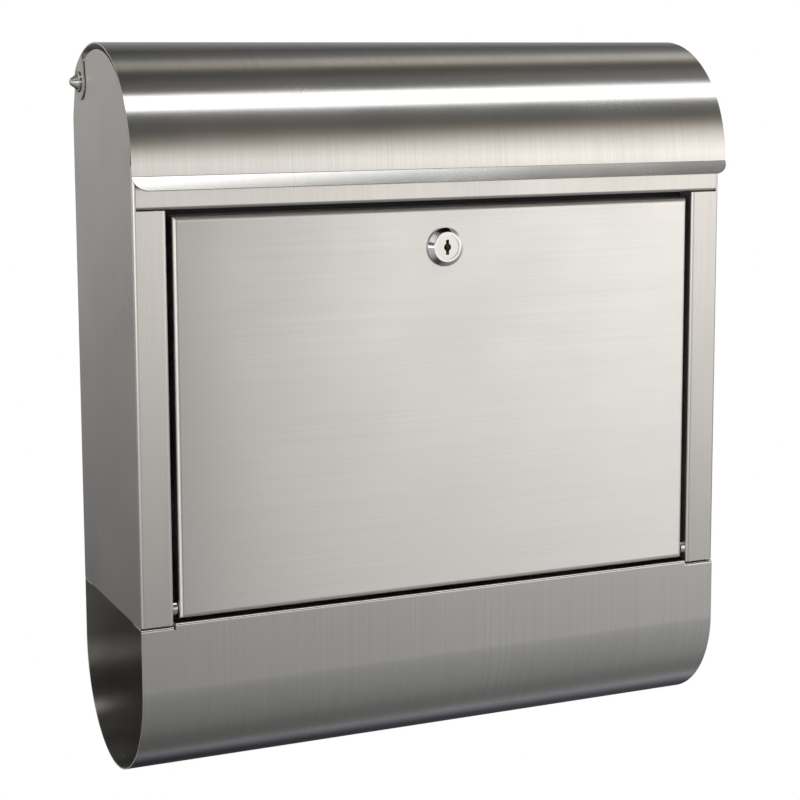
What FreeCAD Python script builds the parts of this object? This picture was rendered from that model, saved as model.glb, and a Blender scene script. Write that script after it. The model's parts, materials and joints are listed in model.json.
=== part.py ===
"""Wall mounted mailbox with a curved lid, a locking front door and a newspaper roll.

The frame has +Z up, +X to the right as the door is faced, and -Y towards the reader.
The origin is the centre of the four wall holes, on the back face of the back panel.
Bodies are drawn with Z = 0 on top of the box floor and take their height from Placement.
"""
import FreeCAD, Part
import math
import os
import Sketcher
from FreeCAD import Placement, Rotation, Vector

# Driving dimensions in millimetres and degrees: alias, value, meaning.
DIMENSIONS = [
    ("body_width", 380.0, "outside width of the box"),
    ("body_depth", 126.0, "wall to front face"),
    ("panel_sheet", 1.0, "steel of the box panels"),
    ("fold_radius", 1.0, "inside radius of a panel fold"),
    ("opening_height", 237.4, "floor to the top of the door opening"),
    ("stile_width", 19.4, "front flange beside the door"),
    ("stile_return", 13.0, "depth of the folded edge beside the door"),
    ("rear_flange", 14.0, "side panel flange against the back panel"),
    ("seam_gap", 0.3, "open seam between stile and header"),
    ("hole_height", 140.0, "floor to the centre of the wall holes"),
    ("hole_spacing_wide", 280.0, "wall holes, left to right"),
    ("hole_spacing_high", 180.0, "wall holes, top to bottom"),
    ("wall_hole", 7.0, "diameter of a wall hole"),
    ("header_height", 25.0, "front strip above the door"),
    ("header_ledge", 10.0, "top return of the header"),
    ("header_lip", 6.0, "stop lip behind the door"),
    ("header_tab", 12.0, "flange that the header lies on"),
    ("lid_sheet", 0.8, "steel of the lid"),
    ("lid_overhang", 5.0, "lid front ahead of the box front"),
    ("lid_foot_height", 257.0, "floor to the lowest point of the lid's arc"),
    ("lid_gap", 3.2, "side panel edge to the inside of the lid"),
    ("lid_side_gap", 0.4, "side panel to the lid's ear"),
    ("lid_lip", 8.5, "length of the finger lip"),
    ("lid_lip_angle", 33.0, "slope of the finger lip"),
    ("lid_lip_corner", 8.5, "rounded corner of the finger lip"),
    ("lid_rear_lead", 7.2, "degrees from the pivot to the lid's rear edge"),
    ("ear_front_lead", 12.7, "degrees from the pivot to the ear's front root"),
    ("pivot_depth", 20.5, "wall to the lid's pivot"),
    ("pivot_inset", 10.9, "pivot below the outside of the lid"),
    ("pivot_angle", 53.8, "degrees from level to the pivot, seen from the arc's centre"),
    ("hood_drop", 21.5, "pivot down to the first fold of the back panel"),
    ("hood_clearance", 14.0, "pivot back to the second fold"),
    ("hood_radius", 11.2, "pivot to the third fold"),
    ("hood_lag", 12.6, "degrees from the pivot's direction to the third fold"),
    ("hood_lead", 9.7, "degrees from the pivot to the end of the hood"),
    ("rod_diameter", 6.0, "lid hinge rod"),
    ("running_gap", 0.05, "radial gap of a running fit"),
    ("bush_wall", 1.5, "wall of the rod's bush"),
    ("bush_flange", 14.0, "diameter of the bush's flange"),
    ("bush_flange_sheet", 1.2, "thickness of the bush's flange"),
    ("small_round", 0.3, "rounded edge of a small moulded or stamped piece"),
    ("cap_diameter", 12.6, "push-on cap on the rod's end"),
    ("cap_height", 5.5, "height of the cap"),
    ("cap_rim", 1.2, "height of the cap's rim"),
    ("cap_grip", 3.5, "length of rod inside the cap"),
    ("cap_rim_round", 0.4, "rounded edge of the cap's rim"),
    ("cap_cone", 9.4, "diameter of the cap's cone at the rim"),
    ("cap_tip", 3.6, "diameter of the cap's tip"),
    ("cap_tip_round", 0.9, "rounded edge of the cap's tip"),
    ("roll_sheet", 0.8, "steel of the newspaper roll"),
    ("roll_straight", 38.0, "floor down to the start of the roll's bend"),
    ("roll_flange", 16.0, "roll flange under the floor"),
    ("sill_rise", 0.8, "roll front above the floor in the door opening"),
    ("sill_side_gap", 1.0, "raised sill to the stile"),
    ("tray_setback", 4.0, "front of the box to the front edge of the floor"),
    ("sill_fold", 0.8, "inside radius of the sill's fold over the floor"),
    ("sill_return", 8.0, "sill folded back over the floor"),
    ("door_sheet", 0.8, "steel of the door"),
    ("door_depth", 14.0, "depth of the door tray"),
    ("door_side_gap", 3.3, "door to stile"),
    ("door_top_gap", 3.6, "door to header"),
    ("door_foot_gap", 2.9, "door above the floor"),
    ("door_fold", 3.2, "outside radius of the door's front folds"),
    ("door_stop_gap", 1.5, "door tray to the stop lip"),
    ("buffer_gap", 0.3, "buffer to what it stops"),
    ("buffer_strip_height", 5.0, "rubber strip on the stop lip"),
    ("buffer_strip_inset", 0.3, "end of a rubber strip to the stile"),
    ("buffer_strip_gap", 0.05, "end of a rubber strip to the middle of the door"),
    ("lid_buffer_angle", 125.0, "degrees from level to a lid buffer"),
    ("lid_buffer_width", 5.0, "width of a lid buffer"),
    ("lid_buffer_length", 14.0, "length of a lid buffer along the lid"),
    ("lid_buffer_depth", 9.0, "height of a lid buffer"),
    ("hinge_height", 8.5, "floor to the door's hinge line"),
    ("hinge_setback", 6.0, "front face to the door's hinge line"),
    ("hinge_pin", 4.0, "door hinge pin"),
    ("hinge_pin_head", 7.0, "head of the hinge pin"),
    ("hinge_head_sheet", 1.5, "thickness of the pin's head"),
    ("hinge_rivet", 5.6, "riveted end of the hinge pin"),
    ("hinge_play", 0.3, "door flange to the pin's riveted end"),
    ("hinge_washer", 9.0, "spacer washer on the pin"),
    ("washer_play", 0.4, "spacer washer to the door"),
    ("washer_round", 0.4, "rounded edge of the spacer washer"),
    ("head_round_share", 0.3333, "rounded part of the height of a screw or rivet head"),
    ("lock_drop", 23.8, "top of the door to the lock's axis"),
    ("bezel_base", 23.2, "lock bezel against the door"),
    ("bezel_rim", 17.8, "front rim of the bezel"),
    ("bezel_height", 4.2, "bezel ahead of the door"),
    ("bezel_foot", 1.2, "height of the bezel's widest ring"),
    ("bezel_foot_round", 0.8, "rounded edge of the bezel's widest ring"),
    ("bezel_rim_round", 0.5, "rounded edge of the bezel's rim and of the barrel's end"),
    ("barrel_diameter", 18.0, "threaded barrel of the lock"),
    ("plug_diameter", 14.6, "turning plug of the lock"),
    ("plug_recess", 0.4, "plug behind the bezel's rim"),
    ("plug_end_gap", 0.4, "lock housing to the cam"),
    ("keyway_height", 9.0, "key slot"),
    ("keyway_width", 2.0, "key slot"),
    ("keyway_centre", 4.6, "round middle of the key slot"),
    ("keyway_depth", 9.0, "depth of the key slot"),
    ("cam_sheet", 2.0, "thickness of the cam"),
    ("cam_width", 14.0, "width of the cam"),
    ("cam_end_round", 6.3, "corner radius at the cam's driven end"),
    ("cam_tip_width", 9.8, "width of the cam's tip"),
    ("cam_tip_round", 2.8, "corner radius at the cam's tip"),
    ("cam_square", 7.0, "square drive of the cam"),
    ("cam_clearance", 0.6, "cam to the stop lip"),
    ("cam_tip_gap", 1.9, "locked cam to the header"),
    ("cam_screw", 4.0, "screw that holds the cam"),
    ("cam_screw_head", 8.5, "head of the cam screw"),
    ("cam_screw_head_height", 2.6, "head of the cam screw"),
    ("cam_screw_length", 8.0, "thread of the cam screw in the plug"),
    ("cam_washer", 12.0, "washer under the cam screw"),
    ("cam_washer_sheet", 1.0, "washer under the cam screw"),
    ("lock_nut_flats", 22.0, "lock nut across the flats"),
    ("lock_nut_height", 4.0, "lock nut"),
    ("wafer_sheet", 0.5, "thickness of a lock wafer"),
    ("wafer_pitch", 1.6, "lock wafer to lock wafer"),
    ("wafer_start", 4.5, "front of the plug to the first wafer"),
    ("wafer_width", 6.0, "width of a lock wafer"),
    ("wafer_slot_gap", 0.1, "wafer to its slot"),
    ("roll_screw", 4.0, "screw that holds the roll"),
    ("roll_screw_gap", 0.25, "radial gap of a roll screw"),
    ("roll_screw_head", 8.0, "head of a roll screw"),
    ("roll_screw_head_height", 2.6, "head of a roll screw"),
    ("roll_screw_tail", 1.0, "screw below its nut"),
    ("roll_nut_flats", 7.0, "nut across the flats"),
    ("roll_nut_height", 3.2, "height of the nut"),
    ("roll_screw_inset", 9.0, "rear screws ahead of the wall"),
    ("roll_screw_spread", 240.0, "outer rear screws, left to right"),
]

WAFERS = 4
SIDES = {"left": -1, "right": 1}
doc = FreeCAD.newDocument("Mailbox")
sheet = doc.addObject("Spreadsheet::Sheet", "Dims")
for row, (alias, value, meaning) in enumerate(DIMENSIONS, start=1):
    sheet.set(f"A{row}", str(value))
    sheet.setAlias(f"A{row}", alias)
    sheet.set(f"B{row}", meaning)
doc.recompute()


def dim(alias):
    """One driving dimension, read from the sheet."""
    return float(sheet.get(alias))


def polar(centre, radius, degrees):
    """The point at this radius and angle about a centre, both in a section's plane."""
    angle = math.radians(degrees)
    return (centre[0] + radius * math.cos(angle), centre[1] + radius * math.sin(angle))


# ---------------------------------------------------------------- worked-out places
half_width = dim("body_width") / 2
front = -dim("body_depth")
inner_wall = half_width - dim("panel_sheet")
stile_inner = half_width - dim("stile_width")
fold_outer = dim("fold_radius") + dim("panel_sheet")

# The lid's arc touches its front line and passes the pivot at the named angle and inset.
pivot_cosine = math.cos(math.radians(dim("pivot_angle")))
lid_reach = dim("body_depth") + dim("lid_overhang") - dim("pivot_depth")
lid_outer = (lid_reach + dim("pivot_inset") * pivot_cosine) / (1 + pivot_cosine)
lid_inner = lid_outer - dim("lid_sheet")
side_arc = lid_inner - dim("lid_gap")
arc_centre = (front - dim("lid_overhang") + lid_outer, dim("lid_foot_height"))
pivot = polar(arc_centre, lid_outer - dim("pivot_inset"), dim("pivot_angle"))
lid_half_width = half_width + dim("lid_side_gap") + dim("lid_sheet")

header_top = dim("opening_height") + dim("header_height")
door_half_width = stile_inner - dim("door_side_gap")
door_top = dim("opening_height") - dim("door_top_gap")
door_back = front + dim("door_depth")
stop_front = door_back + dim("door_stop_gap")
lock_height = door_top - dim("lock_drop")
cam_front = stop_front + dim("panel_sheet") + dim("cam_clearance")
housing_back = cam_front - dim("plug_end_gap")
cam_length = dim("lock_drop") + dim("door_top_gap") - dim("cam_tip_gap")
hinge_line = (front + dim("hinge_setback"), dim("hinge_height"))


# ---------------------------------------------------------------- drawing helpers
def new_body(label):
    """A body drawn from the box floor up, placed at its height above the wall holes."""
    body = doc.addObject("PartDesign::Body", label)
    body.Label = label
    body.setExpression(".Placement.Base.z", "-Dims.hole_height")
    return body


def sketch_on(body, role, offset=0.0):
    """A sketch on one of the body's own origin planes, moved along the plane's normal."""
    sketch = body.newObject("Sketcher::SketchObject", f"{body.Name}_sketch")
    plane = [feature for feature in body.Origin.OriginFeatures if feature.Role == role][0]
    sketch.AttachmentSupport = [(plane, "")]
    sketch.MapMode = "FlatFace"
    sketch.AttachmentOffset = Placement(Vector(0, 0, offset), Rotation())
    return sketch


def draw_line(sketch, start, end):
    """A straight edge between two points of the section."""
    sketch.addGeometry(Part.LineSegment(Vector(*start, 0), Vector(*end, 0)), False)


def draw_arc(sketch, centre, radius, start_degrees, end_degrees):
    """A counter-clockwise arc of the section."""
    circle = Part.Circle(Vector(*centre, 0), Vector(0, 0, 1), radius)
    start, end = math.radians(start_degrees), math.radians(end_degrees)
    sketch.addGeometry(Part.ArcOfCircle(circle, start, end), False)


def draw_circle(sketch, centre, radius_expression):
    """A full circle whose radius is bound to the sheet."""
    circle = Part.Circle(Vector(*centre, 0), Vector(0, 0, 1), 1.0)
    index = sketch.addGeometry(circle, False)
    constraint = sketch.addConstraint(Sketcher.Constraint("Radius", index, 1.0))
    sketch.setExpression(f"Constraints[{constraint}]", radius_expression)


def draw_outline(sketch, corners):
    """A closed outline through (x, y, radius) corners, rounded where radius is not zero."""
    count = len(corners)
    ends = []
    for index, (x, y, radius) in enumerate(corners):
        here = Vector(x, y, 0)
        before = Vector(*corners[index - 1][:2], 0) - here
        after = Vector(*corners[(index + 1) % count][:2], 0) - here
        if radius == 0:
            ends.append((here, here))
            continue
        before.normalize()
        after.normalize()
        half_angle = before.getAngle(after) / 2
        setback = radius / math.tan(half_angle)
        entry, leave = here + before * setback, here + after * setback
        middle = here + (before + after).normalize() * (radius / math.sin(half_angle) - radius)
        sketch.addGeometry(Part.Arc(entry, middle, leave), False)
        ends.append((entry, leave))
    for index in range(count):
        start, end = ends[index][1], ends[(index + 1) % count][0]
        if start.distanceToPoint(end) > 1e-6:
            sketch.addGeometry(Part.LineSegment(start, end), False)


def strip_corners(path, thickness, inside_radius):
    """Corners of a folded strip: its face follows the path and its steel lies on the left."""
    points = [Vector(*point, 0) for point in path]
    runs = [(end - start).normalize() for start, end in zip(points, points[1:])]
    normals = [Vector(-run.y, run.x, 0) for run in runs]
    face = [(points[0].x, points[0].y, 0.0)]
    first = points[0] + normals[0] * thickness
    back = [(first.x, first.y, 0.0)]
    for index in range(1, len(points) - 1):
        turn = runs[index - 1].cross(runs[index]).z
        bisector = normals[index - 1] + normals[index]
        shift = bisector * (2 * thickness / bisector.Length ** 2)
        inner = points[index] + shift
        face_radius = inside_radius + (thickness if turn > 0 else 0.0)
        back_radius = inside_radius + (0.0 if turn > 0 else thickness)
        face.append((points[index].x, points[index].y, face_radius))
        back.append((inner.x, inner.y, back_radius))
    face.append((points[-1].x, points[-1].y, 0.0))
    last = points[-1] + normals[-1] * thickness
    back.append((last.x, last.y, 0.0))
    return face + back[::-1]


def pad(body, sketch, length, reversed_pad=False, midplane=False):
    """Steel added from a sketch; length is an expression or a number."""
    feature = body.newObject("PartDesign::Pad", f"{body.Name}_pad")
    feature.Profile = sketch
    feature.Reversed = reversed_pad
    feature.SideType = "Symmetric" if midplane else "One side"
    bind(feature, "Length", length)
    doc.recompute()
    return feature


def pocket(body, sketch, length, reversed_cut=False, midplane=False):
    """Steel removed from a sketch; the volume has to drop, or the cut points away."""
    before = body.Shape.Volume
    feature = body.newObject("PartDesign::Pocket", f"{body.Name}_pocket")
    feature.Profile = sketch
    feature.Reversed = reversed_cut
    feature.SideType = "Symmetric" if midplane else "One side"
    bind(feature, "Length", length)
    doc.recompute()
    if not feature.Shape.Volume < before:
        raise RuntimeError(f"{body.Label}: {feature.Label} cuts nothing")
    return feature


def bind(feature, property_name, value):
    """Set a property from a number, or bind it to the sheet with an expression."""
    if isinstance(value, str):
        feature.setExpression(property_name, value)
    else:
        setattr(feature, property_name, value)


def section_body(label, corners, length):
    """A body of one section in the YZ plane, padded left and right alike."""
    body = new_body(label)
    sketch = sketch_on(body, "YZ_Plane")
    draw_outline(sketch, corners)
    pad(body, sketch, length, midplane=True)
    return body


def drill_along_y(body, places, radius_expression, length, offset=0.0):
    """Round holes along Y at (x, z) places, cut towards the wall from y = -offset."""
    sketch = sketch_on(body, "XZ_Plane", offset)
    for place in places:
        draw_circle(sketch, place, radius_expression)
    return pocket(body, sketch, length)


def drill_along_z(body, places, radius_expression, centre_height):
    """Round holes along Z at (x, y) places, through the sheet at this height."""
    sketch = sketch_on(body, "XY_Plane", centre_height)
    for place in places:
        draw_circle(sketch, place, radius_expression)
    return pocket(body, sketch, "2 * Dims.panel_sheet", midplane=True)


def drill_along_x(body, places, radius_expression, centre_x, length):
    """Round holes along X at (y, z) places, centred on a sheet at this x."""
    sketch = sketch_on(body, "YZ_Plane", centre_x)
    for place in places:
        draw_circle(sketch, place, radius_expression)
    return pocket(body, sketch, length, midplane=True)


def turned(label, corners, position, axis):
    """A body turned about an axis from an (along, radius) outline, placed at a point."""
    body = doc.addObject("PartDesign::Body", label)
    body.Label = label
    sketch = sketch_on(body, "XY_Plane")
    draw_outline(sketch, corners)
    feature = body.newObject("PartDesign::Revolution", f"{label}_turning")
    feature.Profile = sketch
    feature.ReferenceAxis = (sketch, ["H_Axis"])
    feature.Angle = 360.0
    place_on(body, position, axis)
    doc.recompute()
    return body


def place_on(body, position, axis):
    """Put a body drawn along its own X at a place above the floor, along an axis."""
    lift = Vector(0, 0, -dim("hole_height"))
    body.Placement = Placement(Vector(*position) + lift, Rotation(Vector(1, 0, 0), Vector(*axis)))


def hexagon(flats):
    """Corners of a hexagon with this distance across its flats."""
    radius = flats / math.sqrt(3)
    return [polar((0.0, 0.0), radius, 60 * step) + (0.0,) for step in range(6)]


def group(label, pieces):
    """Separate identical pieces that share one label."""
    compound = doc.addObject("Part::Compound", label)
    compound.Label = label
    compound.Links = pieces
    return compound


# ---------------------------------------------------------------- the box
def hood_path():
    """Rear face of the back panel, from its foot up and over the lid's hinge."""
    fold_angle = dim("pivot_angle") - dim("hood_lag")
    end_angle = dim("pivot_angle") + dim("hood_lead")
    return [
        (0.0, -dim("panel_sheet")),
        (0.0, pivot[1] - dim("hood_drop")),
        (pivot[0] + dim("hood_clearance"), pivot[1] + dim("running_gap")),
        polar(pivot, dim("hood_radius"), fold_angle),
        polar(arc_centre, side_arc + dim("panel_sheet"), end_angle),
    ]


def make_back_panel():
    """Back panel with its folded hood and the four wall holes."""
    corners = strip_corners(hood_path(), dim("panel_sheet"), dim("fold_radius"))
    body = section_body("back_panel", corners, "Dims.body_width")
    half_wide, half_high = dim("hole_spacing_wide") / 2, dim("hole_spacing_high") / 2
    places = [
        (x, dim("hole_height") + z)
        for x in (-half_wide, half_wide)
        for z in (-half_high, half_high)
    ]
    drill_along_y(body, places, "Dims.wall_hole / 2", "2 * Dims.panel_sheet", dim("panel_sheet"))
    return body


def make_side_panel(side):
    """Side sheet with its stile beside the door, its header flange and its rear flange."""
    sign = SIDES[side]
    steel = dim("panel_sheet")
    body = new_body(f"{side}_side_panel")

    # The side sheet, inside the back panel's hood and under the lid's arc.
    hood = strip_corners(hood_path(), steel, dim("fold_radius"))
    inside = hood[len(hood) // 2:][::-1]
    fold_line = front + fold_outer
    rise = math.sqrt(side_arc ** 2 - (fold_line - arc_centre[0]) ** 2)
    arc_start = (fold_line, arc_centre[1] + rise)
    end_angle = math.degrees(math.atan2(inside[-1][1] - arc_centre[1], inside[-1][0] - arc_centre[0]))
    start_angle = math.degrees(math.atan2(rise, fold_line - arc_centre[0]))
    arc_end = polar(arc_centre, side_arc, end_angle)
    sheet_sketch = sketch_on(body, "YZ_Plane", sign * half_width)
    foot = (inside[0][0], 0.0)
    draw_line(sheet_sketch, (fold_line, 0.0), foot)
    draw_line(sheet_sketch, foot, inside[1][:2])
    draw_line(sheet_sketch, inside[1][:2], inside[2][:2])
    draw_line(sheet_sketch, inside[2][:2], inside[3][:2])
    draw_line(sheet_sketch, inside[3][:2], arc_end)
    draw_arc(sheet_sketch, arc_centre, side_arc, end_angle, start_angle)
    draw_line(sheet_sketch, arc_start, (fold_line, 0.0))
    pad(body, sheet_sketch, "Dims.panel_sheet", reversed_pad=sign > 0)

    # The stile: a fold, the front flange, a second fold and the edge beside the door.
    stile_path = [
        (half_width, front + fold_outer),
        (half_width, front),
        (stile_inner, front),
        (stile_inner, front + dim("stile_return")),
    ]
    stile = strip_corners(stile_path, -steel, dim("fold_radius"))
    stile_sketch = sketch_on(body, "XY_Plane")
    draw_outline(stile_sketch, [(sign * x, y, stile_radius(x, y)) for x, y, _ in stile])
    pad(body, stile_sketch, "Dims.opening_height - Dims.seam_gap")

    # Above the seam the fold goes on, and a set-back flange carries the header.
    post_sketch = sketch_on(body, "XY_Plane", dim("opening_height") - dim("seam_gap"))
    post_end = half_width - fold_outer
    corner = (sign * post_end, front + fold_outer)
    turn = (180.0, 270.0) if sign < 0 else (270.0, 360.0)
    draw_arc(post_sketch, corner, fold_outer, *turn)
    draw_line(post_sketch, (sign * half_width, front + fold_outer), (sign * inner_wall, front + fold_outer))
    draw_line(post_sketch, (sign * post_end, front), (sign * post_end, front + steel))
    draw_arc(post_sketch, corner, dim("fold_radius"), *turn)
    pad(body, post_sketch, "Dims.header_height + Dims.seam_gap")

    tab_sketch = sketch_on(body, "XY_Plane", dim("opening_height") + 2 * steel)
    tab_end = half_width - dim("header_tab") - steel
    draw_outline(tab_sketch, [
        (sign * (half_width - steel / 2), front + fold_outer, 0.0),
        (sign * (half_width - steel / 2), front + steel, 0.0),
        (sign * tab_end, front + steel, 0.0),
        (sign * tab_end, front + fold_outer, 0.0),
    ])
    pad(body, tab_sketch, "Dims.header_height - 4 * Dims.panel_sheet")

    # The rear flange lies against the back panel.
    flange_sketch = sketch_on(body, "XY_Plane")
    draw_outline(flange_sketch, [
        (sign * (half_width - steel / 2), -steel, 0.0),
        (sign * (half_width - steel / 2), -2 * steel, 0.0),
        (sign * (half_width - dim("rear_flange")), -2 * steel, 0.0),
        (sign * (half_width - dim("rear_flange")), -steel, 0.0),
    ])
    pad(body, flange_sketch, pivot[1] - dim("hood_drop") - dim("rear_flange"))

    bush_radius = "Dims.rod_diameter / 2 + Dims.running_gap + Dims.bush_wall"
    drill_along_x(body, [pivot], bush_radius, sign * (half_width - steel / 2), "4 * Dims.panel_sheet")
    return_middle = sign * (stile_inner + steel / 2)
    drill_along_x(body, [hinge_line], "Dims.hinge_pin / 2", return_middle, "4 * Dims.panel_sheet")
    return body


def stile_radius(x, y):
    """Fold radius of a corner of the stile's section, by where it lies."""
    steel = dim("panel_sheet")
    if y == front and x in (half_width, stile_inner):
        return fold_outer
    if abs(y - front - steel) < 1e-9:
        return dim("fold_radius")
    return 0.0


def make_front_header():
    """Channel above the door: a ledge under the lid, the face, a return and the stop lip."""
    path = [
        (front + dim("header_ledge"), header_top),
        (front, header_top),
        (front, dim("opening_height")),
        (stop_front, dim("opening_height")),
        (stop_front, dim("opening_height") - dim("header_lip")),
    ]
    corners = strip_corners(path, dim("panel_sheet"), dim("fold_radius"))
    between_posts = "Dims.body_width - 2 * (Dims.fold_radius + Dims.panel_sheet) - Dims.seam_gap"
    return section_body("front_header", corners, between_posts)


def screw_places():
    """The (x, y) places of the screws that join the roll to the floor."""
    rear = -dim("roll_screw_inset")
    spread = dim("roll_screw_spread") / 2
    tab_x = half_width - dim("stile_width") / 2
    tab_y = front + dim("roll_screw_inset")
    return [(-spread, rear), (0.0, rear), (spread, rear), (-tab_x, tab_y), (tab_x, tab_y)]


def make_floor_tray():
    """Floor sheet under the side panels and above the roll's flanges."""
    steel = dim("panel_sheet")
    body = new_body("floor_tray")
    sketch = sketch_on(body, "XY_Plane", -steel)
    front_edge = front + dim("tray_setback")
    draw_outline(sketch, [
        (-half_width, front_edge, 0.0),
        (half_width, front_edge, 0.0),
        (half_width, -steel, 0.0),
        (-half_width, -steel, 0.0),
    ])
    pad(body, sketch, "Dims.panel_sheet")
    hole = "Dims.roll_screw / 2 + Dims.roll_screw_gap"
    drill_along_z(body, screw_places(), hole, -steel / 2)
    return body


def make_newspaper_roll():
    """One sheet bent to a U, open at both ends, with a folded sill and flanges under the floor."""
    steel = dim("roll_sheet")
    under_floor = -dim("panel_sheet")
    outer = dim("body_depth") / 2
    centre = (front / 2, -dim("roll_straight"))
    fold = dim("fold_radius")
    body = new_body("newspaper_roll")
    sketch = sketch_on(body, "YZ_Plane")
    inside = dim("sill_fold")
    sill = (front + inside + steel, dim("sill_rise") - inside - steel)
    sill_back = front + dim("sill_return")
    draw_line(sketch, (front, centre[1]), (front, sill[1]))
    draw_arc(sketch, sill, inside + steel, 90.0, 180.0)
    draw_line(sketch, (sill[0], dim("sill_rise")), (sill_back, dim("sill_rise")))
    draw_line(sketch, (sill_back, dim("sill_rise")), (sill_back, dim("sill_rise") - steel))
    draw_line(sketch, (sill_back, dim("sill_rise") - steel), (sill[0], dim("sill_rise") - steel))
    draw_arc(sketch, sill, inside, 90.0, 180.0)
    draw_line(sketch, (front + steel, sill[1]), (front + steel, centre[1]))
    draw_arc(sketch, centre, outer - steel, 180.0, 360.0)
    bend = (-(fold + steel), under_floor - fold - steel)
    draw_line(sketch, (-steel, centre[1]), (-steel, bend[1]))
    draw_arc(sketch, bend, fold, 0.0, 90.0)
    draw_line(sketch, (bend[0], under_floor - steel), (-dim("roll_flange"), under_floor - steel))
    draw_line(sketch, (-dim("roll_flange"), under_floor - steel), (-dim("roll_flange"), under_floor))
    draw_line(sketch, (-dim("roll_flange"), under_floor), (bend[0], under_floor))
    draw_arc(sketch, bend, fold + steel, 0.0, 90.0)
    draw_line(sketch, (0.0, bend[1]), (0.0, centre[1]))
    draw_arc(sketch, centre, outer, 180.0, 360.0)
    pad(body, sketch, "Dims.body_width", midplane=True)

    # Under the stiles the front wall is cut lower and folded in as a screw tab.
    sill_end = stile_inner - dim("sill_side_gap")
    tab_fold = (front + fold + steel, under_floor - fold - steel)
    for sign in SIDES.values():
        cut = sketch_on(body, "XZ_Plane", -front + steel)
        draw_outline(cut, [
            (sign * sill_end, tab_fold[1], 0.0),
            (sign * (half_width + steel), tab_fold[1], 0.0),
            (sign * (half_width + steel), 2 * dim("sill_rise"), 0.0),
            (sign * sill_end, 2 * dim("sill_rise"), 0.0),
        ])
        pocket(body, cut, "Dims.sill_return + 4 * Dims.roll_sheet")
        tab = sketch_on(body, "YZ_Plane", sign * half_width)
        tab_end = front + dim("roll_flange")
        draw_arc(tab, tab_fold, fold + steel, 90.0, 180.0)
        draw_line(tab, (front, tab_fold[1]), (front + steel, tab_fold[1]))
        draw_arc(tab, tab_fold, fold, 90.0, 180.0)
        draw_line(tab, (tab_fold[0], under_floor - steel), (tab_end, under_floor - steel))
        draw_line(tab, (tab_end, under_floor - steel), (tab_end, under_floor))
        draw_line(tab, (tab_end, under_floor), (tab_fold[0], under_floor))
        pad(body, tab, "Dims.stile_width - Dims.seam_gap", reversed_pad=sign > 0)
    hole = "Dims.roll_screw / 2 + Dims.roll_screw_gap"
    drill_along_z(body, screw_places(), hole, under_floor - steel / 2)
    return body


def make_roll_fasteners():
    """Pan head screws from inside the box, with nuts under the roll's flanges."""
    radius = dim("roll_screw") / 2
    head, head_height = dim("roll_screw_head") / 2, dim("roll_screw_head_height")
    grip = dim("panel_sheet") + dim("roll_sheet")
    tail = grip + dim("roll_nut_height") + dim("roll_screw_tail")
    screws, nuts = [], []
    for index, (x, y) in enumerate(screw_places(), start=1):
        outline = [
            (-head_height, 0.0, 0.0),
            (-head_height, head, head_height * dim("head_round_share")),
            (0.0, head, 0.0),
            (0.0, radius, 0.0),
            (tail, radius, 0.0),
            (tail, 0.0, 0.0),
        ]
        screws.append(turned(f"roll_screw_{index}", outline, (x, y, 0.0), (0, 0, -1)))
        nut = doc.addObject("PartDesign::Body", f"roll_nut_{index}")
        sketch = sketch_on(nut, "YZ_Plane")
        draw_outline(sketch, hexagon(dim("roll_nut_flats")))
        draw_circle(sketch, (0.0, 0.0), "Dims.roll_screw / 2")
        pad(nut, sketch, "Dims.roll_nut_height")
        place_on(nut, (x, y, -grip), (0, 0, -1))
        nuts.append(nut)
    return [group("roll_screws", screws), group("roll_nuts", nuts)]


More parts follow.
